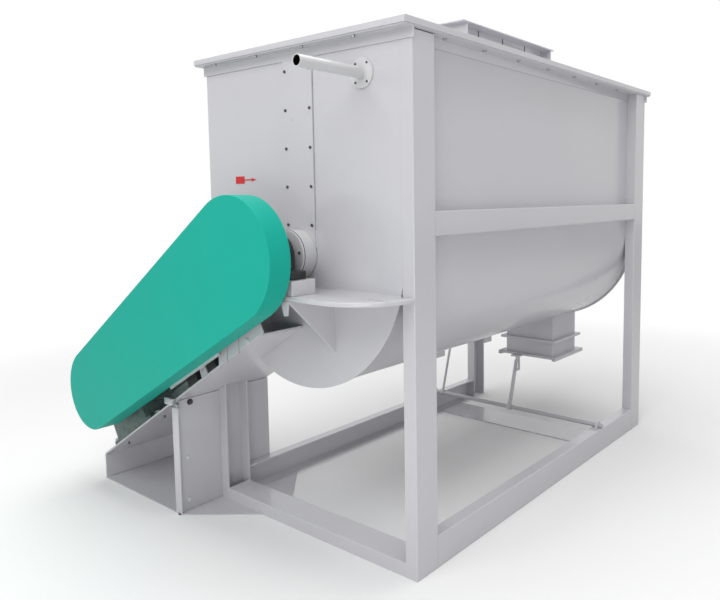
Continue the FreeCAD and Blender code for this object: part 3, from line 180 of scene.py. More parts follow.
class Finish:
    """One material whose nodes are made and joined by name."""

    def __init__(self, name):
        self.material = bpy.data.materials.new(name)
        self.material.use_nodes = True
        self.tree = self.material.node_tree
        self.shader = self.tree.nodes["Principled BSDF"]
        self.place = self.node("ShaderNodeTexCoord", {}, {}, "Object")

    def node(self, kind, settings, values, output=0):
        """A node of any type: its settings first, then the values or links of its sockets."""
        made = self.tree.nodes.new(kind)
        for name, setting in settings.items():
            setattr(made, name, setting)
        for name, value in values.items():
            self.feed(made.inputs[name], value)
        return Value(self, made.outputs[output])

    def feed(self, socket, value):
        """Link a value to a socket, or write a plain number or colour there."""
        if isinstance(value, Value):
            self.tree.links.new(value.socket, socket)
        else:
            socket.default_value = value

    def set(self, **values):
        """Sockets of the main shader, with _ for the spaces in their names."""
        for name, value in values.items():
            self.feed(self.shader.inputs[name.replace("_", " ")], value)

    def noise(self, scale, detail=3, roughness=0.5, stretch=(1, 1, 1)):
        """Noise of so many patches per metre, stretched along an axis."""
        mapped = self.node("ShaderNodeMapping", {}, {"Vector": self.place, "Scale": stretch})
        values = {"Vector": mapped, "Scale": scale, "Detail": detail, "Roughness": roughness}
        return self.node("ShaderNodeTexNoise", {}, values)

    def height(self):
        """Height over the floor in metres."""
        return self.node("ShaderNodeSeparateXYZ", {}, {"Vector": self.place}, "Z")

    def blend(self, factor, first, second):
        """Two colours mixed by a factor."""
        settings = {"data_type": "RGBA"}
        return self.node("ShaderNodeMix", settings, {"Factor": factor, 6: first, 7: second}, 2)

    def bump(self, height, strength, distance):
        """Normal of a surface raised by a height that is 0 to 1."""
        values = {"Height": height, "Strength": strength, "Distance": distance}
        return self.node("ShaderNodeBump", {}, values)


def shade(colour, factor):
    """A colour made lighter or darker by a factor."""
    return (colour[0] * factor, colour[1] * factor, colour[2] * factor, 1)


# Finishes
def gloss_paint(name, colour, roughness=0.25, dust=0.12, coat=0.45):
    """Sprayed gloss paint: faint orange peel, slow change of tone, dust near the floor."""
    paint = Finish(name)
    cloud = paint.noise(2.2, 4, 0.6)
    tone = cloud.over(0.3, 0.7)
    body = paint.blend(tone, shade(colour, 0.975), shade(colour, 1.015))
    low = 1 - paint.height().over(0.0, 0.28)
    grains = paint.noise(60, 5, 0.7).over(0.42, 0.72)
    grey = (0.42 * colour[0], 0.41 * colour[1], 0.38 * colour[2], 1)
    dirty = low * low * (grains * 0.5 + 0.5) * dust
    paint.set(Base_Color=paint.blend(dirty, body, grey))
    paint.set(Roughness=roughness + cloud * 0.08 + dirty * 0.3)
    peel = paint.noise(210, 2, 0.4)
    wave = paint.noise(1.6, 1, 0.4)
    paint.set(Normal=paint.bump(peel * 0.1 + wave * 0.5, 0.1, 0.002))
    paint.set(Coat_Weight=coat)
    paint.shader.inputs["Coat Roughness"].default_value = 0.09
    return paint.material


def casting_enamel(name, colour, roughness=0.42):
    """Enamel over a sand casting: coarse grain and darker hollows."""
    enamel = Finish(name)
    grain = enamel.noise(320, 4, 0.6)
    lumps = enamel.noise(38, 3, 0.5)
    tone = lumps.over(0.35, 0.65)
    enamel.set(Base_Color=enamel.blend(tone, shade(colour, 0.75), shade(colour, 1.2)))
    enamel.set(Roughness=roughness + grain * 0.15)
    enamel.set(Normal=enamel.bump(grain * 0.5 + lumps, 0.5, 0.0015))
    return enamel.material


def turned_steel(name, colour, roughness, axis_scale):
    """Machined steel with fine tool marks across one axis."""
    steel = Finish(name)
    marks = steel.noise(40, 4, 0.7, axis_scale)
    cloud = steel.noise(14, 3, 0.6)
    tone = (marks * 0.5 + cloud * 0.5).over(0.3, 0.7)
    steel.set(Base_Color=steel.blend(tone, shade(colour, 0.8), shade(colour, 1.15)))
    steel.set(Metallic=1.0)
    steel.set(Roughness=roughness + cloud * 0.15)
    steel.set(Normal=steel.bump(marks, 0.25, 0.0004))
    return steel.material


def oiled_steel(name, colour):
    """Dark steel with patches of old oil."""
    steel = Finish(name)
    oil = steel.noise(24, 5, 0.65).over(0.4, 0.66)
    grain = steel.noise(260, 3, 0.6)
    steel.set(Base_Color=steel.blend(oil, shade(colour, 1.3), shade(colour, 0.35)))
    steel.set(Metallic=1.0 - oil * 0.5)
    steel.set(Roughness=0.5 - oil * 0.22)
    steel.set(Normal=steel.bump(grain, 0.3, 0.0006))
    return steel.material


def zinc_plate(name, colour):
    """Bright zinc plate with a faint mottle."""
    zinc = Finish(name)
    mottle = zinc.node("ShaderNodeTexVoronoi", {}, {"Vector": zinc.place, "Scale": 240.0})
    tone = mottle.over(0.0, 0.9)
    zinc.set(Base_Color=zinc.blend(tone, shade(colour, 0.75), shade(colour, 1.15)))
    zinc.set(Metallic=1.0)
    zinc.set(Roughness=0.32 + tone * 0.12)
    return zinc.material


def printed_film(name, colour):
    """Coloured film stuck to the plate: slightly soft at its surface."""
    film = Finish(name)
    cloud = film.noise(70, 3, 0.5)
    film.set(Base_Color=film.blend(cloud, shade(colour, 0.88), shade(colour, 1.1)))
    film.set(Roughness=0.38 + cloud * 0.1)
    film.set(Normal=film.bump(cloud, 0.1, 0.0005))
    return film.material


GREY_WHITE = (0.565, 0.56, 0.59)
WHITE = (0.61, 0.61, 0.622)
TEAL = (0.008, 0.405, 0.315)

finishes = {
    "frame_paint": gloss_paint("grey_white_paint", GREY_WHITE),
    "white_paint": gloss_paint("white_paint", WHITE),
    "guard_paint": gloss_paint("teal_paint", TEAL, 0.4, 0.0, 0.0),
    "black_iron": casting_enamel("black_casting", (0.014, 0.016, 0.017), 0.35),
    "bearing_steel": turned_steel("bearing_steel", (0.55, 0.55, 0.56), 0.2, (1, 40, 1)),
    "shaft_steel": turned_steel("shaft_steel", (0.48, 0.48, 0.49), 0.25, (1, 40, 1)),
    "ribbon_steel": turned_steel("ribbon_steel", (0.34, 0.335, 0.33), 0.35, (1, 6, 1)),
    "sprocket_iron": oiled_steel("sprocket_iron", (0.22, 0.215, 0.21)),
    "chain_steel": oiled_steel("chain_steel", (0.30, 0.29, 0.27)),
    "motor_green": casting_enamel("motor_enamel", (0.10, 0.155, 0.14)),
    "cowl_black": casting_enamel("cowl_black", (0.02, 0.022, 0.024), 0.45),
    "zinc_bolts": zinc_plate("zinc_plate", (0.42, 0.42, 0.43)),
    "red_label": printed_film("red_film", (0.62, 0.012, 0.016)),
    "rod_steel": gloss_paint("rod_paint", shade(GREY_WHITE, 0.8)[:3], 0.35),
}
guard_shader = finishes["guard_paint"].node_tree.nodes["Principled BSDF"]
guard_shader.inputs["Specular IOR Level"].default_value = 0.15
# Dark zinc of the black bolts; the same colour is also the painted shade inside the liquid pipe's
# mouth.
dark_bolts_and_pipe_shade = zinc_plate("dark_bolts_and_pipe_shade", (0.10, 0.10, 0.105))

slot_of = {part["node"]: part["material_slot"] for part in frame["record"]["subparts"]}
for name, item in frame["nodes"].items():
    dark = name == "strip_bolts"
    item.data.materials.clear()
    item.data.materials.append(dark_bolts_and_pipe_shade if dark else finishes[slot_of[name]])


# New pieces
def finish_piece(name, shape, slot, smooth_angle=40, body="machine", material=None):
    """Turn a bmesh into a piece that rides on a body, in its slot's finish if no other is given."""
    bmesh.ops.remove_doubles(shape, verts=shape.verts, dist=0.00001)
    bmesh.ops.recalc_face_normals(shape, faces=shape.faces)
    mesh = bpy.data.meshes.new(name)
    shape.to_mesh(mesh)
    shape.free()
    mesh.shade_smooth()
    mesh.set_sharp_from_angle(angle=math.radians(smooth_angle))
    mesh.materials.append(material or finishes[slot])
    item = bpy.data.objects.new(name, mesh)
    bpy.context.scene.collection.objects.link(item)
    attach(item, body)
    return item


def turn_to(direction):
    """Rotation that points the local Z axis along a direction."""
    return Vector(direction).to_track_quat("Z", "Y").to_matrix().to_4x4()


def add_disc(shape, place, direction, radius, thickness, sides=24):
    """Round disc with a chamfered top edge."""
    made = bmesh.ops.create_cone(
        shape, cap_ends=True, segments=sides, radius1=radius, radius2=radius, depth=thickness
    )
    corners = made["verts"]
    top = [edge for edge in edges_of(corners) if min(v.co.z for v in edge.verts) > 0]
    bmesh.ops.translate(shape, verts=corners, vec=(0, 0, thickness / 2))
    bevelled = bmesh.ops.bevel(
        shape, geom=top, offset=min(radius, thickness) * 0.2, segments=1, profile=0.5,
        affect="EDGES", material=-1,
    )
    corners = list({corner for corner in corners if corner.is_valid} | set(bevelled["verts"]))
    matrix = Matrix.Translation(place) @ turn_to(direction)
    bmesh.ops.transform(shape, matrix=matrix, verts=corners)


def edges_of(corners):
    """Every edge whose ends are both among the given corners."""
    wanted = set(corners)
    return {edge for corner in corners for edge in corner.link_edges if set(edge.verts) <= wanted}


def add_bolt(shape, place, direction, flats):
    """Washer with a hexagon head on it."""
    direction = Vector(direction)
    washer = flats * 0.12
    add_disc(shape, place, direction, flats * 0.78, washer)
    add_disc(shape, place + direction * washer, direction, flats / math.sqrt(3), flats * 0.6, 6)


def add_bar(shape, start, end, radius, sides=16):
    """Round bar between two places."""
    made = bmesh.ops.create_cone(
        shape, cap_ends=True, segments=sides, radius1=radius, radius2=radius,
        depth=(end - start).length,
    )
    matrix = Matrix.Translation((start + end) / 2) @ turn_to(end - start)
    bmesh.ops.transform(shape, matrix=matrix, verts=made["verts"])


def add_prism(shape, outline, depth):
    """Solid over an outline of places, as deep as a vector."""
    near = shape.faces.new([shape.verts.new(corner) for corner in outline])
    made = bmesh.ops.extrude_face_region(shape, geom=[near])
    far = [item for item in made["geom"] if isinstance(item, bmesh.types.BMVert)]
    bmesh.ops.translate(shape, verts=far, vec=depth)


def add_block(shape, low, high, rounding):
    """Block between two corners with rounded edges."""
    corners = bmesh.ops.create_cube(shape, size=1)["verts"]
    bmesh.ops.scale(shape, verts=corners, vec=high - low)
    bmesh.ops.translate(shape, verts=corners, vec=(low + high) / 2)
    bmesh.ops.bevel(
        shape, geom=list(edges_of(corners)), offset=rounding, segments=2, profile=0.5,
        affect="EDGES", material=-1,
    )


def add_ring(shape, place, axis, radius, thickness):
    """Round rod bent to a closed ring round an axis, sizes in metres."""
    section = Matrix.Translation((radius, 0, 0)) @ Matrix.Rotation(math.pi / 2, 4, "X")
    matrix = Matrix.Translation(place) @ turn_to(axis) @ section
    corners = bmesh.ops.create_circle(shape, segments=8, radius=thickness, matrix=matrix)["verts"]
    bmesh.ops.spin(
        shape, geom=corners + list(edges_of(corners)), cent=place, axis=axis,
        angle=2 * math.pi, steps=48, use_merge=True,
    )


def add_rod(shape, points, radii, normal, sides):
    """Rod through a flat line of places, with its radius at each and closed ends."""
    rings = []
    for number, point in enumerate(points):
        before = points[max(number - 1, 0)]
        after = points[min(number + 1, len(points) - 1)]
        side = (after - before).cross(normal).normalized()
        ring = []
        for corner in range(sides):
            angle = 2 * math.pi * corner / sides
            offset = side * math.cos(angle) + normal * math.sin(angle)
            ring.append(shape.verts.new(point + offset * radii[number]))
        rings.append(ring)
    shape.faces.new(rings[0])
    shape.faces.new(list(reversed(rings[-1])))
    for first, second in zip(rings, rings[1:]):
        for corner in range(sides):
            following = (corner + 1) % sides
            shape.faces.new((first[corner], second[corner], second[following], first[following]))


def spread(points, step):
    """Places at an even step along a line of places."""
    places = []
    for first, second in zip(points, points[1:]):
        parts = max(1, round((second - first).length / step))
        places.extend(first.lerp(second, part / parts) for part in range(parts))
    places.append(points[-1])
    return places


def add_weld(shape, points, normal, radius=0.0028):
    """Painted weld bead along a line of places, with its ripples."""
    places = spread(points, radius)
    radii = [radius * (1 + 0.15 * math.sin(1.7 * number)) for number in range(len(places))]
    add_rod(shape, places, radii, Vector(normal), 6)


def arc(y, radius, start, end, count=60):
    """Places on an arc round the main shaft's axis, angles in degrees from +X upward."""
    places = []
    for number in range(count + 1):
        angle = math.radians(start + (end - start) * number / count)
        places.append(at(radius * math.cos(angle), y, SHAFT_HEIGHT + radius * math.sin(angle)))
    return places


def add_lathe(shape, profile, back):
    """Ring round the main shaft from pairs of a radius and a depth, in millimetres."""
    corners = [shape.verts.new(at(radius, back + depth, SHAFT_HEIGHT)) for radius, depth in profile]
    edges = [shape.edges.new(pair) for pair in zip(corners, corners[1:] + corners[:1])]
    bmesh.ops.spin(
        shape, geom=corners + edges, cent=at(0, back, SHAFT_HEIGHT), axis=(0, 1, 0),
        angle=2 * math.pi, steps=96, use_merge=True,
    )


# Rounded copies of the plates and rolled sections
def softened(node, width, weight=None):
    """Copy of a node with rounded edges, in place of it; a weight scales the width by edge."""
    shape = bmesh.new()
    shape.from_mesh(frame["nodes"][node].data)
    bmesh.ops.remove_doubles(shape, verts=shape.verts, dist=0.00001)
    bmesh.ops.dissolve_limit(
        shape, angle_limit=math.radians(1), verts=shape.verts, edges=shape.edges
    )
    if weight:
        layer = shape.edges.layers.float.new("bevel_weight_edge")
        for edge in shape.edges:
            edge[layer] = weight(edge)
    body = frame["nodes"][node]["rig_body"]
    piece = finish_piece(f"{node}_rounded", shape, slot_of[node], 80, body)
    bevel = piece.modifiers.new("Rounded", "BEVEL")
    bevel.width = width
    bevel.segments = 3
    bevel.limit_method = "WEIGHT" if weight else "ANGLE"
    bevel.angle_limit = math.radians(40)
    bevel.harden_normals = True
    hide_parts(node)


def web_corners(node):
    """Weight of 1 for the long outer edges of a channel's web, 0.1 for its other edges."""
    low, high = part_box(node)
    axis = Z if node == "base_rail_front" else X
    left = axis == X and centre(node, X) < MIDDLE
    web = low.x if left else high[axis]

    def weight(edge):
        if len(edge.link_faces) != 2 or edge.calc_face_angle() < math.radians(60):
            return 0
        on_web = all(abs(corner.co[axis] - web) < 0.0001 for corner in edge.verts)
        longest = max(high - low)
        return 1 if on_web and edge.calc_length() > longest * 0.7 else 0.1

    return weight


def guard_corner(edge):
    """Weight of 1 for the guard's folded front edge, 0.15 for its rear rim."""
    if len(edge.link_faces) != 2 or edge.calc_face_angle() < math.radians(60):
        return 0
    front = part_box("chain_guard")[0].y
    return 1 if all(corner.co.y < front + 0.0001 for corner in edge.verts) else 0.15


def round_edges():
    """Rounded corners on the rolled sections, plates and folded sheets."""
    for name in frame["nodes"]:
        if name.startswith(("leg_", "base_rail_", "middle_rail_")):
            softened(name, width=0.004, weight=web_corners(name))
    for name in ("bearing_shelf_front", "bearing_shelf_rear", "bearing_spacers", "shelf_gussets"):
        softened(name, width=0.0022)
    for name in ("pillow_block_front", "pillow_block_rear", "gearbox_case"):
        softened(name, width=0.005)
    for name in ("lid_cover", "rim_frame", "inlet_collar", "outlet_chute", "outlet_spout",
                 "motor_plate", "stand_cheek_front", "stand_cheek_rear", "cross_plate",
                 "corner_plate", "guard_rail"):
        softened(name, width=0.0012)
    softened("chain_guard", width=0.005, weight=guard_corner)


# Drive
PITCH = 0.0381
BIG_TEETH = 30
SMALL_TEETH = 23
LINKS = 92
ROLLER_RADIUS = 0.011
CHAIN_INNER = 0.026
CHAIN_PLATE = 0.0024
WHEEL_DISTANCE = math.hypot(SHAFT_Z - SMALL_Z, MIDDLE - SMALL_X)


def roller_place(step):
    """Centre of one chain roller, counted from where the chain meets the big wheel."""
    big = PITCH / 2 / math.sin(math.pi / BIG_TEETH)
    small = PITCH / 2 / math.sin(math.pi / SMALL_TEETH)
    lean = math.asin((big - small) / WHEEL_DISTANCE)
    straight = WHEEL_DISTANCE * math.cos(lean) / PITCH
    big_links = (math.pi + 2 * lean) * BIG_TEETH / (2 * math.pi)
    small_links = (math.pi - 2 * lean) * SMALL_TEETH / (2 * math.pi)
    upper = math.pi / 2 + lean

    def on_wheel(hub, radius, angle):
        along = hub + radius * math.cos(angle)
        up = radius * math.sin(angle)
        return on_slope(along / MM, (DRIVE_Y - FRONT) / MM, up / MM)

    if step < big_links:
        return on_wheel(WHEEL_DISTANCE, big, -upper + 2 * math.pi * step / BIG_TEETH)
    step -= big_links
    if step < straight:
        first = on_wheel(WHEEL_DISTANCE, big, upper)
        return first.lerp(on_wheel(0, small, upper), step / straight)
    step -= straight
    if step < small_links:
        return on_wheel(0, small, upper + 2 * math.pi * step / SMALL_TEETH)
    step -= small_links
    first = on_wheel(0, small, -upper)
    return first.lerp(on_wheel(WHEEL_DISTANCE, big, -upper), step / straight)


def link_outline(first, second):
    """Figure-eight outline of a link plate round two rollers."""
    along = (second - first).normalized()
    up = along.cross(Vector((0, 1, 0)))
    edge = ROLLER_RADIUS * 1.45
    waist = edge * 0.7
    places = []
    for roller, heading in ((first, -1), (second, 1)):
        for number in range(7):
            angle = math.radians(-105 + 35 * number)
            side = along * (heading * edge * math.cos(angle)) + up * (heading * edge * math.sin(angle))
            places.append(roller + side)
        places.append((first + second) / 2 + up * (heading * waist))
    return places


def add_chain():
    """Roller chain of side plates, rollers and pins in place of the plain chain."""
    shape = bmesh.new()
    across = Vector((0, 1, 0))
    places = [roller_place(step) for step in range(LINKS)]
    for number, first in enumerate(places):
        second = places[(number + 1) % LINKS]
        near = CHAIN_INNER / 2 + (number % 2) * CHAIN_PLATE
        for side in (-1, 1):
            outline = [place + across * (side * near) for place in link_outline(first, second)]
            add_prism(shape, outline, across * (side * CHAIN_PLATE * 0.96))
        half = across * (CHAIN_INNER / 2 - 0.0003)
        add_bar(shape, first - half, first + half, ROLLER_RADIUS, 14)
        pin = across * (CHAIN_INNER / 2 + 2 * CHAIN_PLATE + 0.001)
        add_bar(shape, first - pin, first + pin, ROLLER_RADIUS * 0.45, 10)
    body = frame["nodes"]["drive_chain"]["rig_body"]
    chain = finish_piece("roller_chain", shape, "chain_steel", 50, body)
    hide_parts("drive_chain")


# Motor and gearbox, in millimetres up the slope from the small wheel
MOTOR_BACK = -112
MOTOR_UP = -60
FINS_START = 190
FINS_END = 600
FIN_ROOT = 86
FIN_TIP = 102
FIN_CHAMFER = 6
FIN_THICKNESS = 3.2
FIN_COUNT = 30
COWL_END = 750
GRILLE_HUB = 8
GRILLE_EDGE = 80
PLATE_UP = -242
FOOT_FRONT = -206
FOOT_DEPTH = 170
FOOT_TAPER = 8
GEARBOX_FRONT = -200
GEARBOX_BACK = 50
GEARBOX_FOOT = 168
GEARBOX_RIM = 98


def on_motor(along, radius, angle):
    """Place at a radius and an angle round the motor's axis, so far up the slope."""
    back = MOTOR_BACK + radius * math.cos(angle)
    return on_slope(along, back, MOTOR_UP + radius * math.sin(angle))


def add_motor_fins():
    """Cooling fins round the motor case, their outer corners cut off."""
    shape = bmesh.new()
    shoulder = FIN_TIP - FIN_CHAMFER / 2
    outline = [
        (FINS_START, FIN_ROOT), (FINS_END, FIN_ROOT), (FINS_END, shoulder),
        (FINS_END - FIN_CHAMFER, FIN_TIP), (FINS_START + FIN_CHAMFER, FIN_TIP), (FINS_START, shoulder),
    ]
    for number in range(FIN_COUNT):
        angle = 2 * math.pi * (number + 0.5) / FIN_COUNT
        side = (on_motor(0, 1, angle + math.pi / 2) - on_motor(0, 0, 0)) * FIN_THICKNESS
        corners = [on_motor(along, radius, angle) - side / 2 for along, radius in outline]
        add_prism(shape, corners, side)
    finish_piece("motor_fins", shape, "motor_green")


def add_cowl_grille():
    """Wire rings and spokes over the end of the fan cowl."""
    shape = bmesh.new()
    face = COWL_END + 1
    axis = (on_slope(1, 0, 0) - on_slope(0, 0, 0)) / MM
    for radius in range(2 * GRILLE_HUB, GRILLE_EDGE, 12):
        add_ring(shape, on_motor(face, 0, 0), axis, radius * MM, 0.0022)
    for number in range(6):
        angle = 2 * math.pi * number / 6
        inner = on_motor(face, GRILLE_HUB, angle)
        add_bar(shape, inner, on_motor(face, GRILLE_EDGE, angle), 0.0024, 8)
    finish_piece("cowl_grille", shape, "cowl_black", 60)


def add_foot(shape, start, end, top):
    """Foot on the sloping plate between two places along it, narrower at its top."""
    outline = [
        on_slope(start, FOOT_FRONT, PLATE_UP),
        on_slope(end, FOOT_FRONT, PLATE_UP),
        on_slope(end - FOOT_TAPER, FOOT_FRONT, top),
        on_slope(start + FOOT_TAPER, FOOT_FRONT, top),
    ]
    add_prism(shape, outline, Vector((0, FOOT_DEPTH * MM, 0)))


def add_motor_base():
    """Two black feet under the motor and the pale slide between them."""
    dark = bmesh.new()
    add_foot(dark, start=560, end=640, top=-150)
    add_foot(dark, start=722, end=790, top=-140)
    finish_piece("motor_base", dark, "cowl_black")
    pale = bmesh.new()
    add_foot(pale, start=668, end=720, top=-186)
    finish_piece("motor_slide", pale, "frame_paint")


def gearbox_rib(shape, back):
    """Cooling rib on the gearbox's lower end."""
    outer = -158
    inner = -149
    foot = -200
    head = -20
    outline = [on_slope(outer, back, foot), on_slope(outer, back, head)]
    outline += [on_slope(inner, back, head), on_slope(inner, back, foot)]
    add_prism(shape, outline, Vector((0, 0.006, 0)))


def add_gearbox_covers():
    """Rear bearing cover and cooling ribs of the gearbox."""
    shape = bmesh.new()
    add_disc(shape, on_slope(0, GEARBOX_BACK, 0), Vector((0, 1, 0)), 0.082, 0.014, 48)
    for number in range(5):
        gearbox_rib(shape, GEARBOX_FRONT + 45 + 40 * number)
    finish_piece("gearbox_covers", shape, "motor_green")


def add_gearbox_bolts():
    """Bolts round both faces of the gearbox and in its four feet."""
    shape = bmesh.new()
    up = (on_slope(0, 0, 1) - on_slope(0, 0, 0)).normalized()
    for back, heading in ((GEARBOX_FRONT, -1), (GEARBOX_BACK, 1)):
        for number in range(8):
            angle = 2 * math.pi * (number + 0.5) / 8
            place = on_slope(GEARBOX_RIM * math.cos(angle), back, GEARBOX_RIM * math.sin(angle))
            add_bolt(shape, place, (0, heading, 0), 0.014)
    for along in (-GEARBOX_FOOT, GEARBOX_FOOT):
        for back in (GEARBOX_FRONT + 45, GEARBOX_BACK - 45):
            add_bolt(shape, on_slope(along, back, PLATE_UP + 18), up, 0.022)
    finish_piece("gearbox_bolts", shape, "zinc_bolts")


# Liquid pipe
def on_pipe(x, y, z):
    """Place in millimetres across and up from the pipe's axis, and back from the front faces."""
    return at(PIPE_ACROSS + x, y, PIPE_HEIGHT + z)


def add_pipe_mouth_shade():
    """Dark sleeve inside the mouth of the liquid pipe, closed at its far end: painted shade of the
    pipe's inside.
    """
    shape = bmesh.new()
    radius = 0.0169
    depth = 0.25
    middle = on_pipe(0, Edges("liquid_pipe").front + 2, 0) + Vector((0, depth / 2, 0))
    made = bmesh.ops.create_cone(
        shape, cap_ends=False, segments=40, radius1=radius, radius2=radius, depth=depth
    )
    matrix = Matrix.Translation(middle) @ turn_to((0, 1, 0))
    bmesh.ops.transform(shape, matrix=matrix, verts=made["verts"])
    far = [edge for edge in shape.edges if all(corner.co.y > middle.y for corner in edge.verts)]
    bmesh.ops.holes_fill(shape, edges=far)
    # The dark finish here is painted shade inside the pipe, not a colour of the steel.
    finish_piece("pipe_mouth_painted_shade", shape, "zinc_bolts", material=dark_bolts_and_pipe_shade)


def add_pipe_screws():
    """Four small screws in the flange of the liquid pipe."""
    shape = bmesh.new()
    for x in (-27, 27):
        for z in (-32, 32):
            add_disc(shape, on_pipe(x, -6, z), (0, -1, 0), 0.0042, 0.0022, 16)
    finish_piece("pipe_flange_screws", shape, "zinc_bolts", material=dark_bolts_and_pipe_shade)


def add_pipe_fillet():
    """Weld between the liquid pipe and its flange."""
    shape = bmesh.new()
    add_ring(shape, on_pipe(0, -7, 0), Vector((0, 1, 0)), 0.021, 0.003)
    finish_piece("pipe_fillet", shape, slot_of["liquid_pipe"], 60)


# Shaft seals
SEAL_BORE = 40.5
SEAL_RADIUS = 95
GLAND_RADIUS = 92
GLAND_FACE = 67


def add_seals():
    """Shaft seals, each a ring with a thin groove before its gland ring."""
    profile = [
        (SEAL_BORE, 0), (SEAL_RADIUS, 0), (SEAL_RADIUS, 2), (93.5, 3), (93.5, 57.5),
        (GLAND_RADIUS, 57.5), (GLAND_RADIUS, 59), (92.6, 59), (93, 60), (GLAND_RADIUS, 66),
        (88, GLAND_FACE), (58, GLAND_FACE), (56, 64), (SEAL_BORE, 64),
    ]
    for name, back, heading in (("front", 0, -1), ("rear", LENGTH, 1)):
        shape = bmesh.new()
        add_lathe(shape, [(radius, depth * heading) for radius, depth in profile], back)
        node = f"seal_housing_{name}"
        seal = finish_piece(f"seal_{name}", shape, slot_of[node], 30)
        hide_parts(node)


def add_gland_bolts():
    """Four dark bolts in each gland ring."""
    shape = bmesh.new()
    radius = 73
    for back, heading in ((-GLAND_FACE, -1), (LENGTH + GLAND_FACE, 1)):
        for number in range(4):
            angle = math.radians(8 + 90 * number)
            place = at(radius * math.cos(angle), back, SHAFT_HEIGHT + radius * math.sin(angle))
            add_bolt(shape, place, (0, heading, 0), 0.008)
    finish_piece("gland_bolts", shape, "zinc_bolts", material=dark_bolts_and_pipe_shade)


# Stand
def add_white_bolts():
    """Painted bolt heads on the front cheek and on the guard rail."""
    shape = bmesh.new()
    for y, z in ((-165, 235), (-167, 51)):
        add_disc(shape, at(CHEEK_FACE, y, z), (1, 0, 0), 0.009, 0.007, 20)
    add_disc(shape, at(-53, STAND_FRONT - 6, 814), (0, -1, 0), 0.011, 0.006, 24)
    finish_piece("stand_bolts_white", shape, slot_of["liquid_pipe"])


def add_dark_bolts():
    """Dark bolts of the cheek and the sloping plate, and the one under the cheek's corner."""
    shape = bmesh.new()
    add_bolt(shape, at(CHEEK_FACE, -145, 476), (1, 0, 0), 0.017)
    for x, z in ((-956, 228), (-646, 413)):
        add_disc(shape, at(x, STAND_FRONT, z), (0, -1, 0), 0.007, 0.004, 20)
    add_disc(shape, at(-564, STAND_FRONT + 6, 0), (0, 0, 1), 0.012, 0.006, 6)
    finish_piece("stand_bolts_dark", shape, "zinc_bolts", material=dark_bolts_and_pipe_shade)


def add_stand_blocks():
    """Block that carries the tension bolt, and the stop block at the plate's low end."""
    shape = bmesh.new()
    add_block(shape, at(-622, -228, 476), at(-560, STAND_FRONT, 506), 0.004)
    add_block(shape, at(-1178, -170, 128), at(-1150, -120, 190), 0.009)
    finish_piece("stand_blocks", shape, "frame_paint")


def add_tension_bolt():
    """Bolt with a slanting shank that sets the motor's place on the slope."""
    shape = bmesh.new()
    head = at(-540, STAND_FRONT - 2, 482)
    add_bolt(shape, head, (0, -1, 0), 0.02)
    add_bar(shape, head, at(-546, -244, 478), 0.005, 14)
    finish_piece("tension_bolt", shape, "zinc_bolts")


def add_guard_strip():
    """Pale edge strip under the lower edge of the guard."""
    shape = bmesh.new()
    back = Edges("chain_guard").back - 2
    start = 487
    end = 881
    outline = [on_slope(start, back, -208), on_slope(end, back, -223)]
    outline += [on_slope(end, back, -194), on_slope(start, back, -180)]
    add_prism(shape, outline, Vector((0, 0.006, 0)))
    finish_piece("guard_edge_strip", shape, "frame_paint")


def add_shelf_bracket():
    """Small tapered bracket under the front shelf, behind the guard."""
    shape = bmesh.new()
    top = Edges("bearing_shelf_front").bottom
    foot = top - 52
    outline = [at(150, -226, top), at(184, -226, top), at(176, -226, foot), at(166, -226, foot)]
    add_prism(shape, outline, Vector((0, 0.012, 0)))
    finish_piece("shelf_bracket", shape, "frame_paint")


# Black lines of painted shade in open joints, gaps and slots
def strip_line(shape):
    """Painted shade in the gap along the right edge of the front cover strip."""
    strip = Edges("cover_strips")
    bottom = SHAFT_HEIGHT + GLAND_RADIUS
    add_block(shape, at(strip.right, -0.8, bottom), at(strip.right + 0.8, 0.5, strip.top), 0.0002)


def rail_lines(shape):
    """Painted shade of two joints across the guard rail: black lines from a little under its lower
    edge upward.
    """
    rail = Edges("guard_rail")
    drop = 6.67
    height = 56
    for x in (-179, -106):
        bottom = rail.bottom - drop + (x - rail.left) * math.tan(SLOPE)
        low = at(x, rail.front - 0.5, bottom)
        add_block(shape, low, at(x + 1.6, rail.front + 1, bottom + height), 0.0003)


def collar_lines(shape):
    """Painted shade of three slots in each long side of the filling collar, as black blocks."""
    collar = Edges("inlet_collar")
    flange = 57
    first = collar.front + 196
    step = 205
    for side in (-1, 1):
        x = side * (collar.right - flange)
        for number in range(3):
            y = first + step * number
            low = at(x - 2.4, y - 4, collar.bottom + 29)
            add_block(shape, low, at(x + 2.4, y + 4, collar.top - 6), 0.0003)


def leg_lines(shape):
    """Painted shade of the joints just under the tops of the front legs, on their outer faces."""
    for side in (-1, 1):
        ends = sorted((side * (LEG.right - 2), side * (LEG.right + 0.9)))
        low = at(ends[0], LEG.front + 6, LEG.top - 6)
        add_block(shape, low, at(ends[1], LEG.back - 6, LEG.top - 3), 0.0003)


def lid_line(shape):
    """Painted shade in the open corner of the folded lid."""
    lid = Edges("lid_cover")
    low = at(lid.right - 3, lid.front - 0.2, lid.bottom + 1)
    add_block(shape, low, at(lid.right - 1.8, lid.front + 1.8, lid.top - 1), 0.0002)


def seal_lines(shape):
    """Painted shade in the gaps round the front seal, at the end plate and at the gland ring."""
    inner = 90
    width = 1.4
    for y, radius in ((-1.2, 96), (-58, 93.9)):
        add_lathe(shape, [(inner, 0), (radius, 0), (radius, width), (inner, width)], y)


def add_dark_lines():
    """Every black line of painted shade in the machine's gaps, in one piece."""
    shape = bmesh.new()
    for line in (strip_line, rail_lines, collar_lines, leg_lines, lid_line, seal_lines):
        line(shape)
    # The black enamel here is painted shade in gaps, not a colour of the parts.
    finish_piece("painted_gap_shade_lines", shape, "cowl_black")


# Welds
def shell_welds(shape):
    """Beads round the trough where it meets its end plates."""
    plate = Edges("end_plate_front").back
    for y in (plate, LENGTH - plate):
        add_weld(shape, arc(y, SHELL_RADIUS + 0.5, 180, 360, 120), (0, 1, 0))


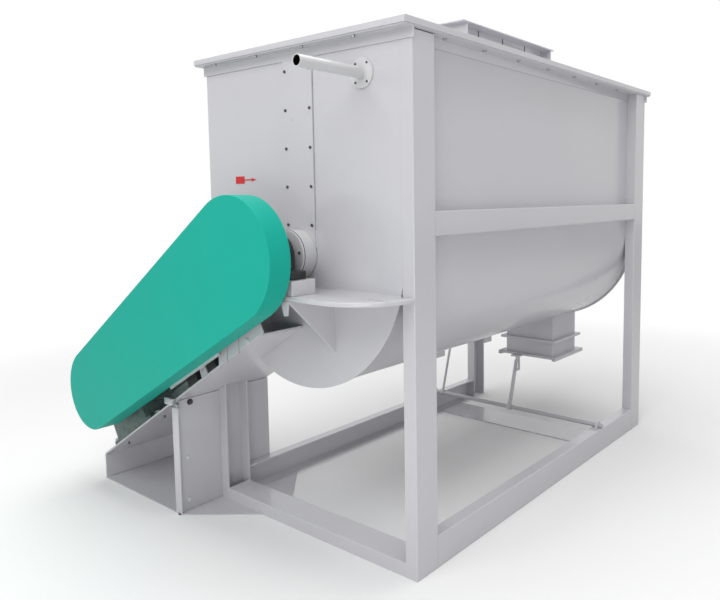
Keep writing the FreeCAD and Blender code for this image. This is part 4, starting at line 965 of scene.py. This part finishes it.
def shelf_welds(shape):
    """Beads over the bearing shelves and down both sides of their gussets."""
    shelf = Edges("bearing_shelf_front")
    gusset = Edges("shelf_gussets").right - 5
    for side in (-1, 1):
        for y, reach in ((0, 510), (LENGTH, 290)):
            add_weld(shape, [at(side * 180, y, shelf.top), at(side * reach, y, shelf.top)], (0, 0, 1))
            for offset in (-6, 6):
                x = side * gusset + offset
                line = [at(x, y, shelf.bottom - 2), at(x, y, shelf.top - 230)]
                add_weld(shape, line, (0, 1, 0), 0.0022)


def frame_welds(shape):
    """Beads where the rails meet the legs."""
    middle = Edges("middle_rail_right")
    base = Edges("base_rail_right")
    for side in (-1, 1):
        x = side * (LEG.right - 0.5)
        for y in (LEG.back, LENGTH - LEG.back):
            for rail in (base, middle):
                add_weld(shape, [at(x, y, rail.bottom + 2), at(x, y, rail.top - 2)], (1, 0, 0), 0.0018)
    front = Edges("base_rail_front")
    for x in (front.left, front.right):
        line = [at(x, front.front + 2, front.top), at(x, front.back - 2, front.top)]
        add_weld(shape, line, (1, 0, 0), 0.0025)


def stand_welds(shape):
    """Beads where the front cheek and the left wall meet the stand's floor plate."""
    wall = Edges("stand_left_wall")
    add_weld(shape, [at(CHEEK_FACE, -205, FLOOR_PLATE), at(CHEEK_FACE, -3, FLOOR_PLATE)], (0, 1, 0))
    line = [at(wall.right, wall.front + 4, FLOOR_PLATE), at(wall.right, wall.back - 8, FLOOR_PLATE)]
    add_weld(shape, line, (0, 1, 0))


def add_welds():
    """Every weld bead of the machine in one piece."""
    shape = bmesh.new()
    for beads in (shell_welds, shelf_welds, frame_welds, stand_welds):
        beads(shape)
    finish_piece("weld_beads", shape, "frame_paint", 60)


def add_saddle():
    """Curved patch on the trough round the outlet chute."""
    shape = bmesh.new()
    chute = Edges("outlet_chute")
    margin = 8
    front = chute.front - margin
    start = 255
    end = 297
    inner = arc(front, SHELL_RADIUS + 0.3, start, end, 24)
    outer = arc(front, SHELL_RADIUS + 3.8, end, start, 24)
    add_prism(shape, inner + outer, Vector((0, (chute.back + margin - front) * MM, 0)))
    finish_piece("outlet_saddle", shape, "frame_paint", 30)


# Stage
def add_camera():
    """Camera at the place and angle of the photograph, its centre off the middle."""
    turn = math.radians(37.99)
    dip = math.radians(-5.19)
    roll = math.radians(-0.48)
    forward = Vector((-math.sin(turn) * math.cos(dip), math.cos(turn) * math.cos(dip), math.sin(dip)))
    right = forward.cross(Vector((0, 0, 1))).normalized()
    up = right.cross(forward)
    tilted_right = right * math.cos(roll) + up * math.sin(roll)
    tilted_up = up * math.cos(roll) - right * math.sin(roll)
    lens_place = at(1996.24, -1749.37, 1340.74)
    matrix = Matrix((tilted_right, tilted_up, -forward)).transposed().to_4x4()
    matrix.translation = lens_place
    data = bpy.data.cameras.new("camera")
    image_width, image_height = 720, 600
    focal, centre_x, centre_y = 680.18, 429.26, 258.15
    data.sensor_width = 36
    data.lens = focal / image_width * data.sensor_width
    data.shift_x = (image_width / 2 - centre_x) / image_width
    data.shift_y = (centre_y - image_height / 2) / image_width
    camera = bpy.data.objects.new("camera", data)
    camera.matrix_world = matrix
    bpy.context.scene.collection.objects.link(camera)
    bpy.context.scene.camera = camera


def add_lamp(name, place, target, width, height, watts):
    """Large soft lamp that points at a target."""
    data = bpy.data.lights.new(name, "AREA")
    data.shape = "RECTANGLE"
    data.size = width
    data.size_y = height
    data.energy = watts
    lamp = bpy.data.objects.new(name, data)
    aim = (Vector(target) - Vector(place)).to_track_quat("-Z", "Y")
    lamp.matrix_world = Matrix.Translation(place) @ aim.to_matrix().to_4x4()
    bpy.context.scene.collection.objects.link(lamp)


def add_world(strength):
    """Plain pale surroundings that look white to the camera and in reflections."""
    world = bpy.data.worlds.new("studio")
    world.use_nodes = True
    tree = world.node_tree
    background = tree.nodes["Background"]
    background.inputs["Color"].default_value = (1, 1, 1, 1)
    path = tree.nodes.new("ShaderNodeLightPath")
    seen = tree.nodes.new("ShaderNodeMath")
    seen.operation = "ADD"
    tree.links.new(path.outputs["Is Camera Ray"], seen.inputs[0])
    tree.links.new(path.outputs["Is Glossy Ray"], seen.inputs[1])
    through = tree.nodes.new("ShaderNodeMath")
    through.operation = "ADD"
    through.use_clamp = True
    tree.links.new(seen.outputs[0], through.inputs[0])
    tree.links.new(path.outputs["Is Transmission Ray"], through.inputs[1])
    level = tree.nodes.new("ShaderNodeMapRange")
    level.inputs["To Min"].default_value = strength
    level.inputs["To Max"].default_value = 1.0
    tree.links.new(through.outputs[0], level.inputs["Value"])
    tree.links.new(level.outputs[0], background.inputs["Strength"])
    bpy.context.scene.world = world


def floor_finish():
    """Matt white floor that turns to the plain white of the backdrop further out."""
    matt = Finish("floor_white")
    seen = matt.node("ShaderNodeLightPath", {}, {}, "Is Camera Ray")
    bounce = matt.blend(seen, (0.78, 0.78, 0.78, 1), (0.88, 0.88, 0.88, 1))
    matt.set(Base_Color=bounce, Roughness=0.9)
    matt.shader.inputs["Specular IOR Level"].default_value = 0.1
    across = matt.node("ShaderNodeVectorMath", {"operation": "LENGTH"}, {0: matt.place}, "Value")
    white = matt.node("ShaderNodeEmission", {}, {"Color": (1, 1, 1, 1), "Strength": 1.0})
    factor = across.over(1.9, 4.2) * seen
    values = {0: factor, 1: Value(matt, matt.shader.outputs[0]), 2: white}
    mixed = matt.node("ShaderNodeMixShader", {}, values)
    matt.feed(matt.tree.nodes["Material Output"].inputs["Surface"], mixed)
    return matt.material


def add_floor():
    """Round floor, far wider than the machine."""
    shape = bmesh.new()
    bmesh.ops.create_circle(shape, cap_ends=True, segments=96, radius=30)
    mesh = bpy.data.meshes.new("floor")
    shape.to_mesh(mesh)
    shape.free()
    mesh.materials.append(floor_finish())
    floor = bpy.data.objects.new("floor", mesh)
    bpy.context.scene.collection.objects.link(floor)
    floor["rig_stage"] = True


def add_stage():
    """Camera, lamps, surroundings and floor."""
    add_camera()
    add_world(0.48)
    trough = at(0, 1000, 900)
    add_lamp("side_lamp", at(6500, 500, 3200), trough, width=5, height=4, watts=6)
    add_lamp("top_lamp", at(0, 1000, 6000), trough, width=5, height=5, watts=230)
    add_lamp("front_lamp", at(900, -4200, 5200), trough, width=6, height=3, watts=175)
    add_lamp("low_lamp", at(2600, -3300, 550), at(-300, 0, 500), width=2.4, height=0.9, watts=26)
    add_floor()
    bpy.context.scene.view_settings.view_transform = "Standard"


add_stage()
round_edges()
add_chain()
add_motor_fins()
add_cowl_grille()
add_motor_base()
add_pipe_mouth_shade()
add_gearbox_covers()
add_gearbox_bolts()
add_seals()
add_gland_bolts()
add_pipe_screws()
add_white_bolts()
add_dark_bolts()
add_stand_blocks()
add_tension_bolt()
add_guard_strip()
add_shelf_bracket()
add_dark_lines()
add_welds()
add_pipe_fillet()
add_saddle()

boxes = {"cad": cad_box, "visual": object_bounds()}
{name: [list(corner) for corner in box] for name, box in boxes.items()}
